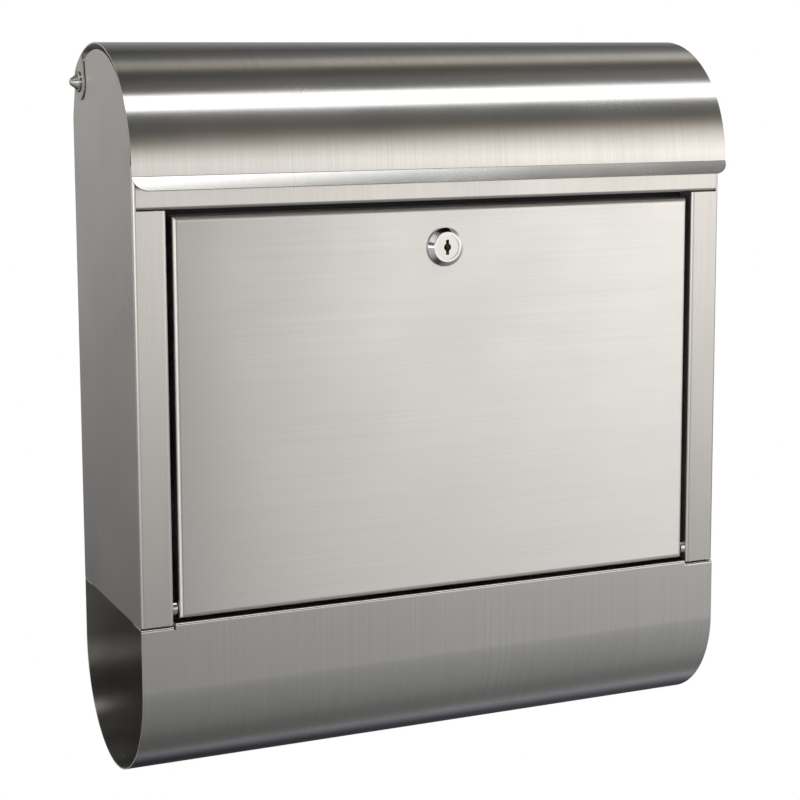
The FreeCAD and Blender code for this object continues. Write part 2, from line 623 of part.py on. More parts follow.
# ---------------------------------------------------------------- the lid
def make_lid_shell():
    """Curved lid with a sloping finger lip and an ear at each end for the hinge rod."""
    body = new_body("lid_shell")
    steel = dim("lid_sheet")
    fold = dim("fold_radius")
    rear_angle = dim("pivot_angle") + dim("lid_rear_lead")
    slope = dim("lid_lip_angle")
    foot = arc_centre[1]
    bend = (arc_centre[0] - lid_outer - fold, foot)
    down = (-math.sin(math.radians(slope)), -math.cos(math.radians(slope)))
    outer_bend = polar(bend, fold, -slope)
    inner_bend = polar(bend, fold + steel, -slope)
    outer_tip = tuple(outer_bend[axis] + dim("lid_lip") * down[axis] for axis in (0, 1))
    inner_tip = tuple(inner_bend[axis] + dim("lid_lip") * down[axis] for axis in (0, 1))
    sketch = sketch_on(body, "YZ_Plane")
    draw_arc(sketch, arc_centre, lid_outer, rear_angle, 180.0)
    draw_arc(sketch, bend, fold, -slope, 0.0)
    draw_line(sketch, outer_bend, outer_tip)
    draw_line(sketch, outer_tip, inner_tip)
    draw_line(sketch, inner_tip, inner_bend)
    draw_arc(sketch, bend, fold + steel, -slope, 0.0)
    draw_arc(sketch, arc_centre, lid_inner, rear_angle, 180.0)
    rear_outer = polar(arc_centre, lid_outer, rear_angle)
    rear_inner = polar(arc_centre, lid_inner, rear_angle)
    draw_line(sketch, rear_outer, rear_inner)
    width = "Dims.body_width + 2 * (Dims.lid_side_gap + Dims.lid_sheet)"
    pad(body, sketch, width, midplane=True)
    round_lip_corners(body, outer_tip, inner_tip)

    # Each ear leaves the lid's arc where the circle about the pivot touches it.
    root_angle = dim("pivot_angle") + dim("ear_front_lead")
    root = polar(arc_centre, lid_outer, root_angle)
    across, above = root[0] - pivot[0], root[1] - pivot[1]
    ear = dim("pivot_inset")
    touch_angle = math.degrees(math.atan2(above, across) + math.acos(ear / math.hypot(across, above)))
    touch = polar(pivot, ear, touch_angle)
    for sign in SIDES.values():
        ear_sketch = sketch_on(body, "YZ_Plane", sign * lid_half_width)
        draw_arc(ear_sketch, arc_centre, lid_outer, dim("pivot_angle"), root_angle)
        draw_line(ear_sketch, root, touch)
        draw_arc(ear_sketch, pivot, ear, touch_angle, 360.0 + dim("pivot_angle"))
        pad(body, ear_sketch, "Dims.lid_sheet", reversed_pad=sign > 0)
    for sign in SIDES.values():
        ear_middle = sign * (lid_half_width - steel / 2)
        drill_along_x(body, [pivot], "Dims.rod_diameter / 2", ear_middle, "2 * Dims.lid_sheet")
    return body


def round_lip_corners(body, outer_tip, inner_tip):
    """Round the two lower corners of the finger lip."""
    middle = Vector(0, (outer_tip[0] + inner_tip[0]) / 2, (outer_tip[1] + inner_tip[1]) / 2)
    base = body.Tip
    names = []
    for index, edge in enumerate(base.Shape.Edges, start=1):
        centre = edge.CenterOfMass
        if centre.distanceToPoint(Vector(centre.x, middle.y, middle.z)) < 1e-3 and abs(centre.x) > 1.0:
            names.append(f"Edge{index}")
    fillet = body.newObject("PartDesign::Fillet", "lip_corners")
    fillet.Base = (base, names)
    fillet.setExpression("Radius", "Dims.lid_lip_corner")
    doc.recompute()


def make_hinge_rod():
    """Rod through both ears and both side panels."""
    rod = doc.addObject("Part::Cylinder", "lid_hinge_rod")
    rod.setExpression("Radius", "Dims.rod_diameter / 2")
    ends = "Dims.lid_side_gap + Dims.lid_sheet + Dims.cap_grip"
    rod.setExpression("Height", f"Dims.body_width + 2 * ({ends})")
    half_length = lid_half_width + dim("cap_grip")
    lift = Vector(0, 0, -dim("hole_height"))
    rod.Placement = Placement(
        Vector(-half_length, *pivot) + lift, Rotation(Vector(0, 0, 1), Vector(1, 0, 0))
    )
    return rod


def make_rod_cap(side):
    """Domed push-on cap that holds the ear on the rod."""
    rim, tip = dim("cap_diameter") / 2, dim("cap_tip") / 2
    radius = dim("rod_diameter") / 2
    outline = [
        (0.0, radius, 0.0),
        (0.0, rim, 0.0),
        (dim("cap_rim"), rim, dim("cap_rim_round")),
        (dim("cap_rim"), dim("cap_cone") / 2, 0.0),
        (dim("cap_height"), tip, dim("cap_tip_round")),
        (dim("cap_height"), 0.0, 0.0),
        (dim("cap_grip"), 0.0, 0.0),
        (dim("cap_grip"), radius, 0.0),
    ]
    sign = SIDES[side]
    return turned(f"{side}_rod_cap", outline, (sign * lid_half_width, *pivot), (sign, 0, 0))


def make_rod_bush(side):
    """Flanged plastic bush in the side panel, which the rod turns in."""
    bore = dim("rod_diameter") / 2 + dim("running_gap")
    outer = bore + dim("bush_wall")
    steel, flange = dim("panel_sheet"), dim("bush_flange_sheet")
    outline = [
        (0.0, bore, 0.0),
        (0.0, outer, 0.0),
        (steel, outer, 0.0),
        (steel, dim("bush_flange") / 2, 0.0),
        (steel + flange, dim("bush_flange") / 2, dim("small_round")),
        (steel + flange, bore, 0.0),
    ]
    sign = SIDES[side]
    return turned(f"{side}_rod_bush", outline, (sign * half_width, *pivot), (-sign, 0, 0))


def make_lid_buffers():
    """Rubber buffers inside the side panels, just under the closed lid."""
    buffers = []
    depth, length = dim("lid_buffer_depth"), dim("lid_buffer_length")
    top = math.sqrt((lid_inner - dim("buffer_gap")) ** 2 - (length / 2) ** 2)
    middle = polar(arc_centre, top - depth / 2, dim("lid_buffer_angle"))
    for side, sign in SIDES.items():
        block = doc.addObject("Part::Box", f"{side}_lid_buffer")
        block.setExpression("Length", "Dims.lid_buffer_width")
        block.setExpression("Width", "Dims.lid_buffer_depth")
        block.setExpression("Height", "Dims.lid_buffer_length")
        turn = Rotation(Vector(1, 0, 0), dim("lid_buffer_angle"))
        left_face = inner_wall - dim("lid_buffer_width") if sign > 0 else -inner_wall
        corner = turn.multVec(Vector(0, -depth / 2, -length / 2))
        lift = Vector(left_face, middle[0], middle[1] - dim("hole_height"))
        block.Placement = Placement(lift + corner, turn)
        buffers.append(block)
    return group("lid_buffers", buffers)


# ---------------------------------------------------------------- the door
def make_door_panel():
    """Folded door tray, open at the back, with holes for the lock and the hinge pins."""
    body = new_body("door_panel")
    sketch = sketch_on(body, "XZ_Plane", -front)
    draw_outline(sketch, [
        (-door_half_width, dim("door_foot_gap"), 0.0),
        (door_half_width, dim("door_foot_gap"), 0.0),
        (door_half_width, door_top, 0.0),
        (-door_half_width, door_top, 0.0),
    ])
    block = pad(body, sketch, "Dims.door_depth", reversed_pad=True)
    front_edges = [
        f"Edge{index}"
        for index, edge in enumerate(block.Shape.Edges, start=1)
        if abs(edge.BoundBox.YMin - front) < 1e-6 and abs(edge.BoundBox.YMax - front) < 1e-6
    ]
    fillet = body.newObject("PartDesign::Fillet", "door_folds")
    fillet.Base = (block, front_edges)
    fillet.setExpression("Radius", "Dims.door_fold")
    doc.recompute()
    back_faces = [
        f"Face{index}"
        for index, face in enumerate(fillet.Shape.Faces, start=1)
        if abs(face.BoundBox.YMin - door_back) < 1e-6
    ]
    shell = body.newObject("PartDesign::Thickness", "door_tray")
    shell.Base = (fillet, back_faces)
    shell.setExpression("Value", "Dims.door_sheet")
    shell.Reversed = True
    doc.recompute()
    hole = "Dims.barrel_diameter / 2"
    drill_along_y(body, [(0.0, lock_height)], hole, "2 * Dims.door_sheet", -front + dim("door_sheet") / 2)
    for sign in SIDES.values():
        flange_middle = sign * (door_half_width - dim("door_sheet") / 2)
        pin_hole = "Dims.hinge_pin / 2 + Dims.running_gap"
        drill_along_x(body, [hinge_line], pin_hole, flange_middle, "2 * Dims.door_sheet")
    return body


def make_hinge_pin(side):
    """Headed pin riveted over inside the door's flange."""
    radius, head, tail = dim("hinge_pin") / 2, dim("hinge_pin_head") / 2, dim("hinge_rivet") / 2
    head_end = stile_inner + dim("panel_sheet")
    inside_flange = door_half_width - dim("door_sheet") - dim("hinge_play")
    grip = head_end - inside_flange
    rivet = dim("hinge_head_sheet")
    outline = [
        (-rivet, 0.0, 0.0),
        (-rivet, head, rivet * dim("head_round_share")),
        (0.0, head, 0.0),
        (0.0, radius, 0.0),
        (grip, radius, 0.0),
        (grip, tail, 0.0),
        (grip + rivet, tail, rivet * dim("head_round_share")),
        (grip + rivet, 0.0, 0.0),
    ]
    sign = SIDES[side]
    return turned(f"{side}_hinge_pin", outline, (sign * head_end, *hinge_line), (-sign, 0, 0))


def make_hinge_washer(side):
    """Spacer washer on the pin, between the stile's edge and the door."""
    thickness = dim("door_side_gap") - dim("washer_play")
    outer, bore = dim("hinge_washer") / 2, dim("hinge_pin") / 2
    edge = dim("washer_round")
    outline = [(0.0, bore, 0.0), (0.0, outer, 0.0), (thickness, outer, edge), (thickness, bore, 0.0)]
    sign = SIDES[side]
    return turned(f"{side}_hinge_washer", outline, (sign * stile_inner, *hinge_line), (-sign, 0, 0))


def make_door_buffers():
    """Two lengths of rubber strip along the header's stop lip, behind the door."""
    strips = []
    foot = dim("opening_height") - dim("header_lip")
    outer_end = stile_inner - dim("buffer_strip_inset")
    for side, sign in SIDES.items():
        strip = doc.addObject("Part::Box", f"{side}_door_buffer")
        strip.Length = outer_end - dim("buffer_strip_gap")
        strip.setExpression("Width", "Dims.door_stop_gap - Dims.buffer_gap")
        strip.setExpression("Height", "Dims.buffer_strip_height")
        near = stop_front - dim("door_stop_gap") + dim("buffer_gap")
        left_end = dim("buffer_strip_gap") if sign > 0 else -outer_end
        strip.Placement = Placement(Vector(left_end, near, foot - dim("hole_height")), Rotation())
        strips.append(strip)
    return group("door_buffers", strips)


# ---------------------------------------------------------------- the lock
def make_lock_housing():
    """Flared bezel and threaded barrel, bored for the turning plug."""
    bore = dim("plug_diameter") / 2 + dim("running_gap")
    barrel, rim, base = dim("barrel_diameter") / 2, dim("bezel_rim") / 2, dim("bezel_base") / 2
    length = housing_back - front
    outline = [
        (-dim("bezel_height"), bore, 0.0),
        (-dim("bezel_height"), rim, dim("bezel_rim_round")),
        (-dim("bezel_foot"), base, dim("bezel_foot_round")),
        (0.0, base, 0.0),
        (0.0, barrel, 0.0),
        (length, barrel, dim("bezel_rim_round")),
        (length, bore, 0.0),
    ]
    return turned("lock_housing", outline, (0.0, front, lock_height), (0, 1, 0))


def make_lock_nut():
    """Flat hexagon nut that clamps the lock in the door."""
    body = doc.addObject("PartDesign::Body", "lock_nut")
    sketch = sketch_on(body, "YZ_Plane")
    draw_outline(sketch, hexagon(dim("lock_nut_flats")))
    draw_circle(sketch, (0.0, 0.0), "Dims.barrel_diameter / 2")
    pad(body, sketch, "Dims.lock_nut_height")
    place_on(body, (0.0, front + dim("door_sheet"), lock_height), (0, 1, 0))
    return body


def wafer_offsets():
    """Distances of the wafers behind the plug's front face."""
    return [dim("wafer_start") + index * dim("wafer_pitch") for index in range(WAFERS)]


def make_lock_plug():
    """Turning plug with its key slot, wafer slots, square drive and screw hole."""
    radius = dim("plug_diameter") / 2
    plug_front = front - dim("bezel_height") + dim("plug_recess")
    length = cam_front - plug_front
    body = doc.addObject("PartDesign::Body", "lock_plug")
    round_sketch = sketch_on(body, "XZ_Plane")
    draw_circle(round_sketch, (0.0, 0.0), "Dims.plug_diameter / 2")
    pad(body, round_sketch, length, reversed_pad=True)
    square_sketch = sketch_on(body, "XZ_Plane", -length)
    half = dim("cam_square") / 2
    square = [(-half, -half, 0.0), (half, -half, 0.0), (half, half, 0.0), (-half, half, 0.0)]
    draw_outline(square_sketch, square)
    pad(body, square_sketch, "Dims.cam_sheet", reversed_pad=True)

    slot_sketch = sketch_on(body, "XZ_Plane")
    wide, high, middle = dim("keyway_width") / 2, dim("keyway_height") / 2, dim("keyway_centre") / 2
    reach = math.sqrt(middle ** 2 - wide ** 2)
    lean = math.degrees(math.asin(reach / middle))
    draw_line(slot_sketch, (wide, reach), (wide, high))
    draw_line(slot_sketch, (wide, high), (-wide, high))
    draw_line(slot_sketch, (-wide, high), (-wide, reach))
    draw_arc(slot_sketch, (0.0, 0.0), middle, 180.0 - lean, 180.0 + lean)
    draw_line(slot_sketch, (-wide, -reach), (-wide, -high))
    draw_line(slot_sketch, (-wide, -high), (wide, -high))
    draw_line(slot_sketch, (wide, -high), (wide, -reach))
    draw_arc(slot_sketch, (0.0, 0.0), middle, -lean, lean)
    pocket(body, slot_sketch, "Dims.keyway_depth")

    half_wafer = dim("wafer_width") / 2 + dim("wafer_slot_gap")
    for offset in wafer_offsets():
        wafer_sketch = sketch_on(body, "XZ_Plane", -offset)
        draw_outline(wafer_sketch, [
            (-half_wafer, -2 * radius, 0.0),
            (half_wafer, -2 * radius, 0.0),
            (half_wafer, 2 * radius, 0.0),
            (-half_wafer, 2 * radius, 0.0),
        ])
        pocket(body, wafer_sketch, "Dims.wafer_sheet + 2 * Dims.wafer_slot_gap", midplane=True)
    screw_sketch = sketch_on(body, "XZ_Plane", -(length + dim("cam_sheet")))
    draw_circle(screw_sketch, (0.0, 0.0), "Dims.cam_screw / 2")
    pocket(body, screw_sketch, "Dims.cam_screw_length", reversed_cut=True)
    body.Placement = Placement(Vector(0, plug_front, lock_height - dim("hole_height")), Rotation())
    return body


def make_lock_wafers():
    """Brass wafers in the plug's slots, with a window for the key."""
    plug_front = front - dim("bezel_height") + dim("plug_recess")
    radius = dim("plug_diameter") / 2
    wafers = []
    for index, offset in enumerate(wafer_offsets(), start=1):
        wafer = doc.addObject("PartDesign::Body", f"lock_wafer_{index}")
        sketch = sketch_on(wafer, "XZ_Plane")
        wide = dim("wafer_width") / 2
        high = math.sqrt(radius ** 2 - wide ** 2) - dim("wafer_slot_gap")
        window_wide, window_high = wide / 2, high / 2
        corner = dim("small_round")
        draw_outline(sketch, [
            (-wide, -high, corner),
            (wide, -high, corner),
            (wide, high, corner),
            (-wide, high, corner),
        ])
        draw_outline(sketch, [
            (-window_wide, -window_high, 0.0),
            (window_wide, -window_high, 0.0),
            (window_wide, window_high, 0.0),
            (-window_wide, window_high, 0.0),
        ])
        pad(wafer, sketch, "Dims.wafer_sheet", midplane=True)
        rest = plug_front + offset + dim("wafer_slot_gap")
        place = Vector(0, rest, lock_height - dim("hole_height"))
        wafer.Placement = Placement(place, Rotation())
        wafers.append(wafer)
    return group("lock_wafers", wafers)


def make_lock_cam():
    """Cam arm on the plug's square; at rest it lies level, and a quarter turn locks it."""
    body = doc.addObject("PartDesign::Body", "lock_cam")
    sketch = sketch_on(body, "XZ_Plane")
    half, tip = dim("cam_width") / 2, dim("cam_tip_width") / 2
    square = dim("cam_square") / 2
    draw_outline(sketch, [
        (half, -half, dim("cam_end_round")),
        (half, half, dim("cam_end_round")),
        (-cam_length, tip, dim("cam_tip_round")),
        (-cam_length, -tip, dim("cam_tip_round")),
    ])
    draw_outline(sketch, [
        (-square, -square, 0.0),
        (square, -square, 0.0),
        (square, square, 0.0),
        (-square, square, 0.0),
    ])
    pad(body, sketch, "Dims.cam_sheet", reversed_pad=True)
    body.Placement = Placement(Vector(0, cam_front, lock_height - dim("hole_height")), Rotation())
    return body


def make_cam_fasteners():
    """Washer and pan head screw that hold the cam on the plug."""
    radius, head = dim("cam_screw") / 2, dim("cam_screw_head") / 2
    height, washer = dim("cam_screw_head_height"), dim("cam_washer_sheet")
    cam_back = cam_front + dim("cam_sheet")
    screw_outline = [
        (-height, 0.0, 0.0),
        (-height, head, height * dim("head_round_share")),
        (0.0, head, 0.0),
        (0.0, radius, 0.0),
        (washer + dim("cam_screw_length"), radius, 0.0),
        (washer + dim("cam_screw_length"), 0.0, 0.0),
    ]
    outer = dim("cam_washer") / 2
    washer_outline = [(0.0, radius, 0.0), (0.0, outer, 0.0), (washer, outer, dim("small_round")), (washer, radius, 0.0)]
    screw = turned("cam_screw", screw_outline, (0.0, cam_back + washer, lock_height), (0, -1, 0))
    ring = turned("cam_washer", washer_outline, (0.0, cam_back, lock_height), (0, 1, 0))
    return [screw, ring]


# ---------------------------------------------------------------- build, check and write
def build_parts():
    """Every sub-part of the mailbox, in the order of assembly."""
    parts = [make_back_panel()]
    parts += [make_side_panel(side) for side in SIDES]
    parts += [make_front_header(), make_floor_tray(), make_newspaper_roll()]
    parts += make_roll_fasteners()
    parts += [make_lid_shell(), make_hinge_rod()]
    parts += [make_rod_cap(side) for side in SIDES]
    parts += [make_rod_bush(side) for side in SIDES]
    parts += [make_lid_buffers(), make_door_panel()]
    parts += [make_hinge_pin(side) for side in SIDES]
    parts += [make_hinge_washer(side) for side in SIDES]
    parts += [make_door_buffers(), make_lock_housing(), make_lock_nut()]
    parts += [make_lock_plug(), make_lock_wafers(), make_lock_cam()]
    parts += make_cam_fasteners()
    return parts


def check(parts):
    """Stop if any object failed to compute or any sub-part's shape is empty or not valid."""
    doc.recompute()
    for item in doc.Objects:
        if "Invalid" in item.State or "Error" in item.State:
            raise RuntimeError(f"{item.Label} failed: {item.State}")
    for part in parts:
        if part.Shape.isNull() or not part.Shape.isValid() or part.Shape.Volume <= 0:
            raise RuntimeError(f"{part.Label} has no valid solid")


sub_parts = build_parts()
check(sub_parts)
os.makedirs("parts", exist_ok=True)
for sub_part in sub_parts:
    sub_part.Shape.exportStep(f"parts/{sub_part.Label}.step")
    print(sub_part.Label, len(sub_part.Shape.Solids), round(sub_part.Shape.Volume, 1))
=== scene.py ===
"""Wall mounted mailbox in brushed stainless steel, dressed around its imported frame.

The frame has +Z up and the door facing -Y; its origin lies between the four wall holes.
Sizes in the classes are millimetres and heights are above the box floor, which lies
140 mm below the origin. Meshes are written in metres.
"""

import json
import logging
import math
from dataclasses import dataclass, field
from enum import Enum

import bpy
import numpy as np
from mathutils import Matrix, Vector

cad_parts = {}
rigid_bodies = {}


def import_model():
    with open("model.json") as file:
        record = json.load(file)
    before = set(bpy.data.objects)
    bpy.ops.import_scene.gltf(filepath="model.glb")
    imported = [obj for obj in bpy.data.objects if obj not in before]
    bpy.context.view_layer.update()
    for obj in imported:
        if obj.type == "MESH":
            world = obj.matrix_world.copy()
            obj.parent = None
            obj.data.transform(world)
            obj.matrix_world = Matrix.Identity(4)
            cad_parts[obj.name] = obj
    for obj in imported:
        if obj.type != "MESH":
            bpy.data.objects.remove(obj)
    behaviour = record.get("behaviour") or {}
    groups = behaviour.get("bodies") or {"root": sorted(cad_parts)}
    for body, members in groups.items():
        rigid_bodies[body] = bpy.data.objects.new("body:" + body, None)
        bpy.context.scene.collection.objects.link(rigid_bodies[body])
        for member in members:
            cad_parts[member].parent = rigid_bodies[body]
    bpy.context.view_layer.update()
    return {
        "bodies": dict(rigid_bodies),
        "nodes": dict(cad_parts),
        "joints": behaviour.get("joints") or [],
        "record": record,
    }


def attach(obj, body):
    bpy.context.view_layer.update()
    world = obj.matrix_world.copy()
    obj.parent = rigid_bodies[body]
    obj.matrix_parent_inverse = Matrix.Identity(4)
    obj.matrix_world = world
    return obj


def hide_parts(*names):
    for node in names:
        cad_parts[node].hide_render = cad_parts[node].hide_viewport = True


log = logging.getLogger("mailbox")
MILLIMETRE = 0.001
FLOOR_BELOW_ORIGIN = 140.0


class Body(Enum):
    """The bodies that the new pieces ride on."""

    HOUSING = "housing"
    LID = "lid"
    DOOR = "door"


class Grain(Enum):
    """Which way the belt ran over the steel."""

    UPRIGHT = "up and down a flat panel"
    ROLLED = "round the bend of a rolled sheet"
    LEVEL = "left to right"


# ------------------------------------------------------------------ colours and nodes
def linear(hex_colour: str) -> tuple[float, float, float, float]:
    """Turn an sRGB hex colour into the linear colour that nodes take.

    Args:
        hex_colour: Six hex digits, with or without a leading #.

    Returns:
        Red, green, blue and an alpha of 1.
    """
    digits = hex_colour.lstrip("#")
    values = [int(digits[place:place + 2], 16) / 255 for place in (0, 2, 4)]
    curve = [v / 12.92 if v <= 0.04045 else ((v + 0.055) / 1.055) ** 2.4 for v in values]
    return (curve[0], curve[1], curve[2], 1.0)


def add_node(tree: bpy.types.NodeTree, kind: str, settings: dict | None = None,
             inputs: dict | None = None) -> bpy.types.Node:
    """Add one node with its settings, values and links.

    Args:
        tree: The node tree that takes it.
        kind: The node's type name.
        settings: Properties of the node itself.
        inputs: Socket name or number to a value, or to an output socket to link from.

    Returns:
        The new node.
    """
    node = tree.nodes.new(kind)
    for name, value in (settings or {}).items():
        setattr(node, name, value)
    for key, value in (inputs or {}).items():
        if isinstance(value, bpy.types.NodeSocket):
            tree.links.new(value, node.inputs[key])
        else:
            node.inputs[key].default_value = value
    return node


def fill_ramp(node: bpy.types.Node, stops: list[tuple[float, tuple[float, float, float]]]) -> None:
    """Give a colour ramp its stops.

    Args:
        node: A ColorRamp node.
        stops: (position from 0 to 1, linear colour) in rising order.
    """
    elements = node.color_ramp.elements
    for position, _ in stops[1:-1]:
        elements.new(position)
    for element, (position, colour) in zip(elements, stops):
        element.position = position
        element.color = (*colour, 1.0)


# ------------------------------------------------------------------ finishes
@dataclass(frozen=True)
class BrushedSteel:
    """Stainless sheet ground with a fine belt: satin, with the light drawn out across the grain.

    The belt leaves scratches 0.05 to 0.2 mm apart. They are drawn at scratch_pitch, coarser
    than they are, so that the grain still shows from a step away.
    """

    name: str
    grain: Grain
    light: str = "#D3D1CE"
    dark: str = "#C6C4C1"
    roughness: float = 0.30
    anisotropy: float = 0.75
    scratch_pitch: float = 1.0
    scratch_length: float = 160.0
    scratch_depth: float = 0.004
    band_pitch: float = 7.0
    band_share: float = 0.35
    wave_length: float = 130.0
    wave_depth: float = 0.05
    cloud_size: float = 70.0
    tint_range: tuple[float, float] = (0.42, 0.93)
    gloss_range: tuple[float, float] = (-0.025, 0.03)
    streak_gloss: float = -0.015
    grain_tilt: float = 0.12

    def build(self) -> bpy.types.Material:
        """Make the material.

        Returns:
            The brushed steel, whose grain follows Object coordinates.
        """
        material = bpy.data.materials.new(self.name)
        material.use_nodes = True
        tree = material.node_tree
        tree.nodes.clear()
        place = add_node(tree, "ShaderNodeTexCoord").outputs["Object"]
        fine = self._streaks(tree, place, self.scratch_pitch, self.scratch_length, 2.0)
        bands = self._streaks(tree, place, self.band_pitch, 4 * self.scratch_length, 1.5)
        cloud = add_node(tree, "ShaderNodeTexNoise", inputs={
            "Vector": place, "Scale": 1000 / self.cloud_size, "Detail": 3.0, "Roughness": 0.55})

        # The scratches, the belt's wider passes and faint handling marks tint the steel a little.
        mixed = add_node(tree, "ShaderNodeMath", {"operation": "MULTIPLY_ADD"},
                         {0: bands, 1: self.band_share, 2: fine})
        share = add_node(tree, "ShaderNodeMapRange", inputs={
            "Value": mixed.outputs[0], "From Min": self.tint_range[0],
            "From Max": self.tint_range[1]})
        tint = add_node(tree, "ShaderNodeMix", {"data_type": "RGBA"}, {
            "Factor": share.outputs[0], 6: linear(self.dark), 7: linear(self.light)})
        worn = add_node(tree, "ShaderNodeMapRange", inputs={
            "Value": cloud.outputs["Fac"], "From Min": 0.3, "From Max": 0.7,
            "To Min": self.roughness + self.gloss_range[0],
            "To Max": self.roughness + self.gloss_range[1]})
        rough = add_node(tree, "ShaderNodeMath", {"operation": "MULTIPLY_ADD"},
                         {0: share.outputs[0], 1: self.streak_gloss, 2: worn.outputs[0]})

        # Scratches a few microns deep, over the slow waves of a thin sheet.
        wave = add_node(tree, "ShaderNodeTexNoise", inputs={
            "Vector": place, "Scale": 1000 / self.wave_length, "Detail": 1.0})
        slow = add_node(tree, "ShaderNodeBump", inputs={
            "Strength": 1.0, "Distance": self.wave_depth * MILLIMETRE,
            "Height": wave.outputs["Fac"]})
        cut = add_node(tree, "ShaderNodeBump", inputs={
            "Strength": 1.0, "Distance": self.scratch_depth * MILLIMETRE, "Height": fine,
            "Normal": slow.outputs["Normal"]})
        shader = add_node(tree, "ShaderNodeBsdfPrincipled", inputs={
            "Base Color": tint.outputs[2], "Metallic": 1.0, "Roughness": rough.outputs[0],
            "Anisotropic": self.anisotropy, "Normal": cut.outputs["Normal"],
            "Tangent": self._across_grain(tree)})
        add_node(tree, "ShaderNodeOutputMaterial", inputs={"Surface": shader.outputs["BSDF"]})
        return material

    def _streaks(self, tree: bpy.types.NodeTree, place: bpy.types.NodeSocket, pitch: float,
                 length: float, detail: float) -> bpy.types.NodeSocket:
        """Noise that is short across the grain and long along it.

        Args:
            tree: The material's nodes.
            place: Object coordinates, in metres.
            pitch: Distance from streak to streak in millimetres.
            length: Length of a streak in millimetres.
            detail: Octaves of the noise.

        Returns:
            The noise, from 0 to 1.
        """
        across, along = 1000 / pitch, 1000 / length
        scale = {
            Grain.UPRIGHT: (across, across, along),
            Grain.ROLLED: (across, along, along),
            Grain.LEVEL: (along, across, across),
        }[self.grain]
        stretched = add_node(tree, "ShaderNodeMapping", inputs={"Vector": place, "Scale": scale})
        noise = add_node(tree, "ShaderNodeTexNoise", inputs={
            "Vector": stretched.outputs["Vector"], "Scale": 1.0, "Detail": detail,
            "Roughness": 0.6})
        return noise.outputs["Fac"]

    def _across_grain(self, tree: bpy.types.NodeTree) -> bpy.types.NodeSocket:
        """The direction across the grain, along which a highlight is drawn out.

        Args:
            tree: The material's nodes.

        Returns:
            X, turned with the piece, for an upright or rolled grain; for a level grain, the
            cross product of X and the surface's normal.
        """
        own = add_node(tree, "ShaderNodeCombineXYZ", inputs={
            "X": 1.0, "Y": self.grain_tilt, "Z": 0.0})
        axis = add_node(tree, "ShaderNodeVectorTransform", {
            "vector_type": "VECTOR", "convert_from": "OBJECT", "convert_to": "WORLD"},
            {0: own.outputs[0]})
        if self.grain is not Grain.LEVEL:
            return axis.outputs[0]
        normal = add_node(tree, "ShaderNodeNewGeometry").outputs["Normal"]
        cross = add_node(tree, "ShaderNodeVectorMath", {"operation": "CROSS_PRODUCT"},
                         {0: normal, 1: axis.outputs[0]})
        return cross.outputs[0]


@dataclass(frozen=True)
class PlainFinish:
    """A metal, plastic or rubber surface with mottled colour, uneven gloss and a fine texture.

    Roughness varies by spread either way over patches of the given size; the texture's pitch
    and depth are in millimetres, as is the patch.
    """

    name: str
    light: str
    dark: str
    metallic: float
    roughness: float
    spread: float
    patch: float
    texture_pitch: float
    texture_depth: float

    def build(self) -> bpy.types.Material:
        """Make the material.

        Returns:
            The finish, in Object coordinates.
        """
        material = bpy.data.materials.new(self.name)
        material.use_nodes = True
        tree = material.node_tree
        tree.nodes.clear()
        place = add_node(tree, "ShaderNodeTexCoord").outputs["Object"]
        patches = add_node(tree, "ShaderNodeTexNoise", inputs={
            "Vector": place, "Scale": 1000 / self.patch, "Detail": 3.0, "Roughness": 0.6})
        texture = add_node(tree, "ShaderNodeTexNoise", inputs={
            "Vector": place, "Scale": 1000 / self.texture_pitch, "Detail": 2.0})
        tint = add_node(tree, "ShaderNodeMix", {"data_type": "RGBA"}, {
            "Factor": patches.outputs["Fac"], 6: linear(self.dark), 7: linear(self.light)})
        rough = add_node(tree, "ShaderNodeMapRange", inputs={
            "Value": patches.outputs["Fac"], "From Min": 0.3, "From Max": 0.7,
            "To Min": self.roughness - self.spread, "To Max": self.roughness + self.spread})
        bump = add_node(tree, "ShaderNodeBump", inputs={
            "Strength": 1.0, "Distance": self.texture_depth * MILLIMETRE,
            "Height": texture.outputs["Fac"]})
        shader = add_node(tree, "ShaderNodeBsdfPrincipled", inputs={
            "Base Color": tint.outputs[2], "Metallic": self.metallic,
            "Roughness": rough.outputs[0], "Normal": bump.outputs["Normal"]})
        add_node(tree, "ShaderNodeOutputMaterial", inputs={"Surface": shader.outputs["BSDF"]})
        return material


